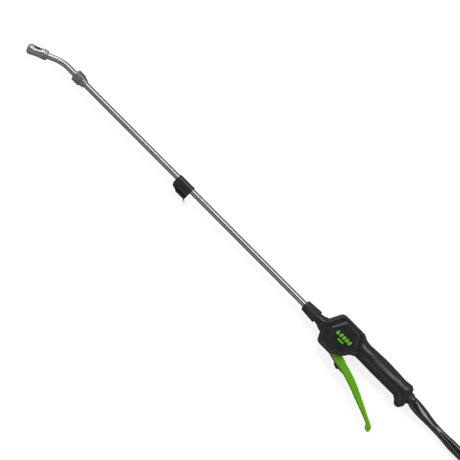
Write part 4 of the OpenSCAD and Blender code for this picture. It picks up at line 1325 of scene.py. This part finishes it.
@dataclass
class TriggerLever:
    """The long lever, with a rounded finger side and a curled tip."""

    thickness: float = 13.0

    def build(self) -> None:
        """The lever in one piece with its hub."""
        upper = curve_through([(4, -14.2), (18.5, -15.2), (34, -19.9), (44, -22.6), (54, -25.8), (64, -29.6),
                               (84, -38.9), (104, -48.8), (114, -53.9), (121, -57.2), (126, -60.0),
                               (128.6, -63.4), (129.1, -66.8), (128.6, -69.6)], 5)
        lower = curve_through([(127.2, -70.5), (124.6, -70.4), (121.4, -68.9), (119.4, -65.6), (117, -62.7),
                               (104, -57.3), (84, -49.9), (64, -42.1), (54, -38.6), (39, -34.0), (24, -29.8),
                               (6, -24.9), (-8, -21.0), (-15.5, -22.8)], 5)
        hub_r, hub = 4.7, (-18.0, -18.8)
        arc = [(hub[0] + hub_r * math.cos(a), hub[1] + hub_r * math.sin(a))
               for a in np.radians(np.linspace(300, 90, 20))]
        outline = [tuple(p) for p in upper] + [tuple(p) for p in lower] + arc[1:] + [(-6, -14.1)]
        p = np.array(outline)
        shown = smooth_step((p[:, 0] - 8) / 20)
        finger_side = np.zeros(len(p))
        finger_side[len(upper):len(upper) + len(lower)] = 1
        tip = smooth_step((p[:, 0] - 116) / 8)
        radii = 0.5 + shown * (0.9 + 2.0 * finger_side * (1 - 0.55 * tip))
        lever = edge_rounded_plate("lever_body", outline, self.thickness / 2, radii, ON_AXIS, 6)
        combine(lever, post("pivot_hole", hub[0], hub[1], 2.55, -10, 10), Cut.TAKE)
        keyway = [np.array([[x, -0.6, -2.0], [x, 2.7, -2.0], [x, 2.7, 2.0], [x, -0.6, 2.0]])
                  for x in (-10, 19)]
        cutter = mesh_piece("key_cutter", *skin(keyway), ThumbLatch().place)
        combine(lever, cutter, Cut.TAKE)
        soften(lever, 0)
        dress(lever, GREEN, "trigger", "trigger_green", "trigger_lever")


@dataclass
class ThumbLatch:
    """The sliding latch on the lever's finger side, with a ribbed thumb rest."""

    origin: Point2 = (6.0, -25.0)
    slope: float = -15.25
    half: float = 5.0
    ribs: int = 5

    @property
    def place(self) -> Matrix:
        """The latch's own axes, with X along its slide."""
        a = math.radians(self.slope)
        return along((*self.origin, AXIS_Z), (math.cos(a), math.sin(a), 0))

    def build(self) -> None:
        """The latch and its thumb ribs."""
        side = rounded([(-7, -0.22, 0), (-7, -1.9, 0.8), (-3, -2.7, 1.5), (12.3, -2.5, 0.8),
                        (13.6, -4.4, 0.8), (22.0, -4.9, 1.0), (23.6, -2.4, 0.8), (33, -0.9, 0.3),
                        (33, -0.22, 0)], 4)
        latch = edge_rounded_plate("latch_body", side, self.half, np.full(len(side), 0.45), self.place, 3)
        soften(latch, 0)
        dress(latch, NUT, "latch", "nut_black", "trigger_latch")
        b = round_angles(12)
        bar = [np.stack([14.6 + r * np.cos(b), -4.55 + r * np.sin(b), np.full(12, z)], 1)
               for r, z in ((0.2, -4.3), (0.5, -4.0), (0.5, 4.0), (0.2, 4.3))]
        rib = mesh_piece("latch_ribs", *skin(bar), self.place)
        step = self.place.to_3x3() @ Vector((1.65, -0.1, 0))
        run_nodes(rib, repeat_tree(),
                  {"Count": self.ribs, "Step": tuple(step * MM), "Finish": NUT.material()})
        soften(rib, 0)
        dress(rib, NUT, "latch", "nut_black")


@dataclass
class ButtCap:
    """The flared cap at the grip's end, with a toe below it, and the hose's gland."""

    centre: Point2 = (124.0, 9.0)
    half: float = 14.2
    rounding_depth: float = 14.8
    squareness: float = 2.15

    @property
    def outline(self) -> Outline:
        """The cap's outline, run on past the grip's end where it is cut off."""
        x = low("butt_cap").x
        return rounded([(x - 24, 28.0, 0), (x, 28.1, 6), (x + 8, 29.3, 4), (x + 11.6, 29.3, 3),
                        (x + 16.2, 26.0, 4), (x + 19.4, 18.0, 8), (x + 22.2, 2.0, 8), (x + 22.2, -4.0, 6),
                        (x + 17.5, -10.8, 5), (x + 12.5, -12.0, 4), (x + 8.6, -10.0, 3), (x + 3.0, -3.6, 8),
                        (x - 5, -2.0, 6), (x - 24, -2.0, 0)], 7)

    def height_at(self, depth: np.ndarray) -> np.ndarray:
        """How far the surface lies from the middle plane at a depth inside the outline."""
        share = np.clip(depth / self.rounding_depth, 0, 1)
        return self.half * (1 - (1 - share) ** self.squareness) ** (1 / self.squareness)

    def build_cap(self) -> None:
        """The cap as a pillow over its outline, cut flat where it meets the grip."""
        angles = round_angles(240)
        reach = ray_lengths(self.outline, self.centre, 0.0, angles)
        rays = np.stack([np.cos(angles), np.sin(angles)], 1)
        shares = np.concatenate([np.sin(np.linspace(math.pi / 2, 0.12, 36)), [0.06, 0.001]])
        upper = []
        for share in shares:
            flat = np.array(self.centre) + rays * (reach * share)[:, None]
            depth = np.maximum(depth_inside(flat, self.outline), 0)
            upper.append(np.column_stack([flat, self.height_at(depth)]))
        upper[0][:, 2] = 0
        lower = [r * np.array([1, 1, -1]) for r in reversed(upper[1:])]
        cap = mesh_piece("end_cap", *skin(lower + upper), ON_AXIS)
        x = low("butt_cap").x
        combine(cap, box_solid("trim", (x - 60, -60, -60), (x + 0.1, 80, 100)), Cut.TAKE)
        hole = turned("cap_hole", [(x - 5, 0), (x - 5, 9.55), (x + 60, 9.55), (x + 60, 0)],
                      Matrix.Translation((0, PIPE_Y, AXIS_Z)), 96)
        combine(cap, hole, Cut.TAKE)
        smooth = cap.modifiers.new("settle", "SMOOTH")
        smooth.factor, smooth.iterations = 0.3, 2
        soften(cap, 0.3, 2, 50)
        dress(cap, SHELL, "gun", "shell_black", "butt_cap")

    def build_gland(self) -> None:
        """The rubber ring that the hose comes out of."""
        x0, x1 = low("hose_gland").x, high("hose_gland").x
        ring = rounded([(x0, 8.1, 0), (x0, 9.5, 0), (x1 - 1.8, 9.5, 0.3), (x1 - 1.5, 9.1, 0.2),
                        (x1 - 1.0, 9.1, 0.2), (x1 - 0.7, 9.4, 0.3), (x1, 9.2, 0.5), (x1, 8.1, 0.3)], 4)
        gland = turned("hose_ring", ring, Matrix.Translation((0, PIPE_Y, AXIS_Z)), 96)
        soften(gland, 0)
        dress(gland, SEAL, "gun", "seal_rubber", "hose_gland")

    def build(self) -> None:
        """Builds the cap and the gland, and dresses the hose's tail inside."""
        self.build_cap()
        self.build_gland()
        dress_node("hose_tail", BRASS)
        dress_node("hose_clamp", ZINC)


# ---------------------------------------------------------------- hose


@dataclass
class Hose:
    """The supply hose: it leaves the butt, lies on the floor and ends in a coil."""

    radius: float = 8.0
    route: tuple[Point3, ...] = ((121, 12.5, 20), (141, 12.5, 20), (154, 11, 19.4), (174, 9.6, 16.8),
                                 (194, 8.2, 12.6), (214, 7.6, 9.4), (234, 7.1, 8.2), (264, 7, 8.1),
                                 (300, 7, 8.1), (350, 7, 8.1))
    coil_outer: float = 96.5
    coil_inner: float = 79.5
    coil_top_z: float = 22.2
    coil_end: float = -750.0
    sides: int = 67
    # each row: length along the hose, half width, half height, the crest's place across, the strip's width
    stations: tuple[tuple[float, ...], ...] = (
        (0, 7.9, 7.9, 5, 0.8), (20, 7.9, 7.9, 5, 0.8), (30, 9.3, 7.2, 5.9, 1.6), (40, 9.4, 7.2, 4.8, 4.2),
        (50, 8.9, 7.3, 4.3, 5.3), (60, 7.9, 7.6, 3.1, 3.7), (70, 7.2, 7.8, 2.2, 2.0), (76, 6.9, 7.9, 1.6, 0.8),
        (90, 6.7, 8.0, 0.4, 0.6), (105, 7.4, 7.9, 0.2, 0.6), (116, 8.4, 7.7, -1.0, 0.6),
        (140, 8.4, 7.8, -3.0, 0.6), (180, 8.1, 7.9, 0, 0.6), (220, 8.0, 8.0, 0, 0.6))

    @property
    def coil_centre(self) -> Point2:
        """The coil's centre, below the end of the straight stretch."""
        x, y, _ = self.route[-1]
        return x, y - self.coil_outer

    def coil_point(self, angle: float) -> Point3:
        """A point of the coil; the angle runs from 90 degrees down to coil_end."""
        top_r = (self.coil_outer + self.coil_inner) / 2
        floor_z = self.route[-1][2]
        moved_in = smooth_step((-180 - angle) / 90)
        climbing = smooth_step((-540 - angle) / 60)
        r = self.coil_outer + (self.coil_inner - self.coil_outer) * moved_in
        r += (top_r - self.coil_inner) * climbing
        z = floor_z + (self.coil_top_z - floor_z) * climbing
        a = math.radians(angle)
        return (self.coil_centre[0] + r * math.cos(a), self.coil_centre[1] + r * math.sin(a), z)

    def coil_points(self, step: float) -> list[Point3]:
        """The coil's points at equal turns."""
        count = round((90 - self.coil_end) / step)
        return [self.coil_point(90 + (self.coil_end - 90) * i / count) for i in range(1, count + 1)]

    def centre_line(self) -> np.ndarray:
        """The whole centre line, in millimetres."""
        return np.concatenate([curve_through(self.route, 6), np.array(self.coil_points(2.5))])

    def section(self, length: float) -> np.ndarray:
        """The hose's folded and twisted section at a length from its hidden end.

        Args:
            length: the length along the hose, in millimetres.

        Returns:
            The section's (side, up) points: the top from side to side, then the round underside.
        """
        stops, *columns = np.array(self.stations).T
        width, height, crest, strip = (np.interp(length, stops, column) for column in columns)
        fold = smooth_step((length - 19) / 8) * (1 - smooth_step((length - 60) / 20))
        ridged = smooth_step((length - 19) / 8) * (1 - smooth_step((length - 130) / 70))
        lean = smooth_step((length - 76) / 20)
        crest_z = height * (0.86 + 0.07 * lean) + 0.10 * (5 - crest) * (1 - lean)
        far = crest - 0.5 - strip
        shoulder = (width * (0.80 - 0.16 * lean), height * (0.66 + 0.19 * lean))
        outer = curve_through([(width, 0), (width * 0.95, height * 0.36), shoulder, (crest, crest_z)], 5)
        valley = (crest - 0.45, crest_z - 1.1 * fold)
        lip_z = crest_z - 1.1 * fold + strip * 0.27
        lower = curve_through([(far - 0.9, lip_z), ((far - 0.9 - width) * 0.45, lip_z * 0.96),
                               (-width * 0.84, height * 0.52), (-width, 0)], 6)
        strip_points = np.linspace(valley, (far, lip_z), 7)
        folded = np.concatenate([outer, strip_points, [(far - 0.4, lip_z - 0.7 * fold)], lower])
        turns = np.linspace(0, math.pi, len(folded))
        plain = np.stack([width * np.cos(turns), height * np.sin(turns)], 1)
        top = plain + (folded - plain) * ridged
        turns = np.linspace(math.pi, FULL_TURN, 26)[1:-1]
        return np.concatenate([top, np.stack([width * np.cos(turns), height * np.sin(turns)], 1)])

    def build(self) -> None:
        """The hose in one mesh."""
        line = self.centre_line()
        hose = swept("supply_hose", line, self.section)
        self.map_surface(hose, line)
        soften(hose, 0, smooth_below=80)
        dress(hose, HOSE, "gun", "hose_rubber", "hose", "hose_coil")

    def map_surface(self, hose: bpy.types.Object, line: np.ndarray) -> None:
        """Gives the hose a UV map of length and place round it, for lines that follow it.

        Args:
            hose: the hose's mesh.
            line: its centre line.
        """
        lengths = lengths_along(line)
        layer = hose.data.uv_layers.new(name="along_and_round")
        for face in hose.data.polygons:
            corners = [(v // self.sides, v % self.sides) for v in face.vertices]
            wraps = max(k for _, k in corners) - min(k for _, k in corners) > self.sides / 2
            for loop, (i, k) in zip(face.loop_indices, corners):
                turn = k + self.sides if wraps and k < self.sides / 2 else k
                layer.data[loop].uv = (lengths[min(i, len(lengths) - 1)] / 10, turn / self.sides)


@dataclass
class HoseEnd:
    """The fitting on the hose's far end: crimped sleeve, barbed stem and swivel nut."""

    hose: Hose
    tilt: float = 12.0
    sleeve_length: float = 18.0
    nut_start: float = 21.3
    nut_length: float = 15.0
    nut_flats: float = 19.0
    thread_r: float = 6.5

    @property
    def place(self) -> Matrix:
        """The fitting's own axes, with X along it from the hose's end."""
        start = self.hose.coil_point(self.hose.coil_end)
        a, t = math.radians(self.hose.coil_end - 90), math.radians(self.tilt)
        return along(start, (math.cos(t) * math.cos(a), math.cos(t) * math.sin(a), math.sin(t)))

    def build_sleeve(self) -> None:
        """The crimped sleeve, with four pressed rings."""
        r = 8.45
        profile = [(0, 5.05), (0, r - 0.5), (0.3, r - 0.1), (0.8, r)]
        for x in (4.0, 7.6, 11.2, 14.8):
            profile += [(x + d, r - 0.55 * math.exp(-(d / 0.55) ** 2)) for d in np.linspace(-1.4, 1.4, 13)]
        profile += [(self.sleeve_length - 0.5, r), (self.sleeve_length, r - 0.5), (self.sleeve_length, 5.05)]
        sleeve = turned("end_sleeve", profile, self.place, 96)
        soften(sleeve, 0)
        dress(sleeve, NICKEL, "gun", "nickel", "hose_end_sleeve")

    def build_nut(self) -> None:
        """The swivel nut with its chamfers and a threaded bore."""
        x0, x1 = self.nut_start, self.nut_start + self.nut_length
        corner = self.nut_flats / math.sqrt(3)
        chamfer = [(0, corner - 1.7), (0.2, corner - 1.3), (0.9, corner - 0.5), (1.8, corner + 0.3), (3, 20.0)]
        stations = [(x0 + d, r) for d, r in chamfer] + [(x1 - d, r) for d, r in reversed(chamfer)]
        threads = []
        pitch, depth = 1.3, 0.6
        for i in range(6):
            x = x1 - 0.8 - pitch * i
            threads += [(x, self.thread_r + depth), (x - 0.25, self.thread_r + depth),
                        (x - 0.6, self.thread_r), (x - 0.9, self.thread_r)]
        seat = [(x0 + 6.7, self.thread_r + 0.4), (x0 + 2.4, self.thread_r + 0.4), (x0 + 2.4, 5.06), (x0, 5.06)]
        bore = [(x1, self.thread_r + 0.9)] + threads + seat
        nut = shaped_bar("end_nut", stations, hexagon(self.nut_flats / 2), bore, self.place)
        soften(nut, 0, smooth_below=35)
        dress(nut, NICKEL, "hose_end_nut", "nickel", "hose_end_nut")

    def build(self) -> None:
        """Builds the fitting."""
        self.build_sleeve()
        self.build_nut()
        dress_node("hose_end_stem", BRASS)
        dress_node("hose_end_seal", SEAL)


# ---------------------------------------------------------------- main


def main() -> None:
    """Builds the studio and every piece, in order."""
    logging.basicConfig(level=logging.INFO, format="%(message)s")
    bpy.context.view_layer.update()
    studio = Studio()
    studio.make_camera()
    hose = Hose()
    HoseEnd(hose).build()
    ButtCap().build()
    hose.build()
    neck = Neck()
    neck.build()
    Nozzle(neck).build()
    LanceTube().build()
    ParkingClip().build()
    LanceNut().build()
    GunCase().build()
    SideMark().build()
    TriggerLever().build()
    ThumbLatch().build()
    studio.make_floor()
    studio.make_lights()


if __name__ == "__main__":
    main()
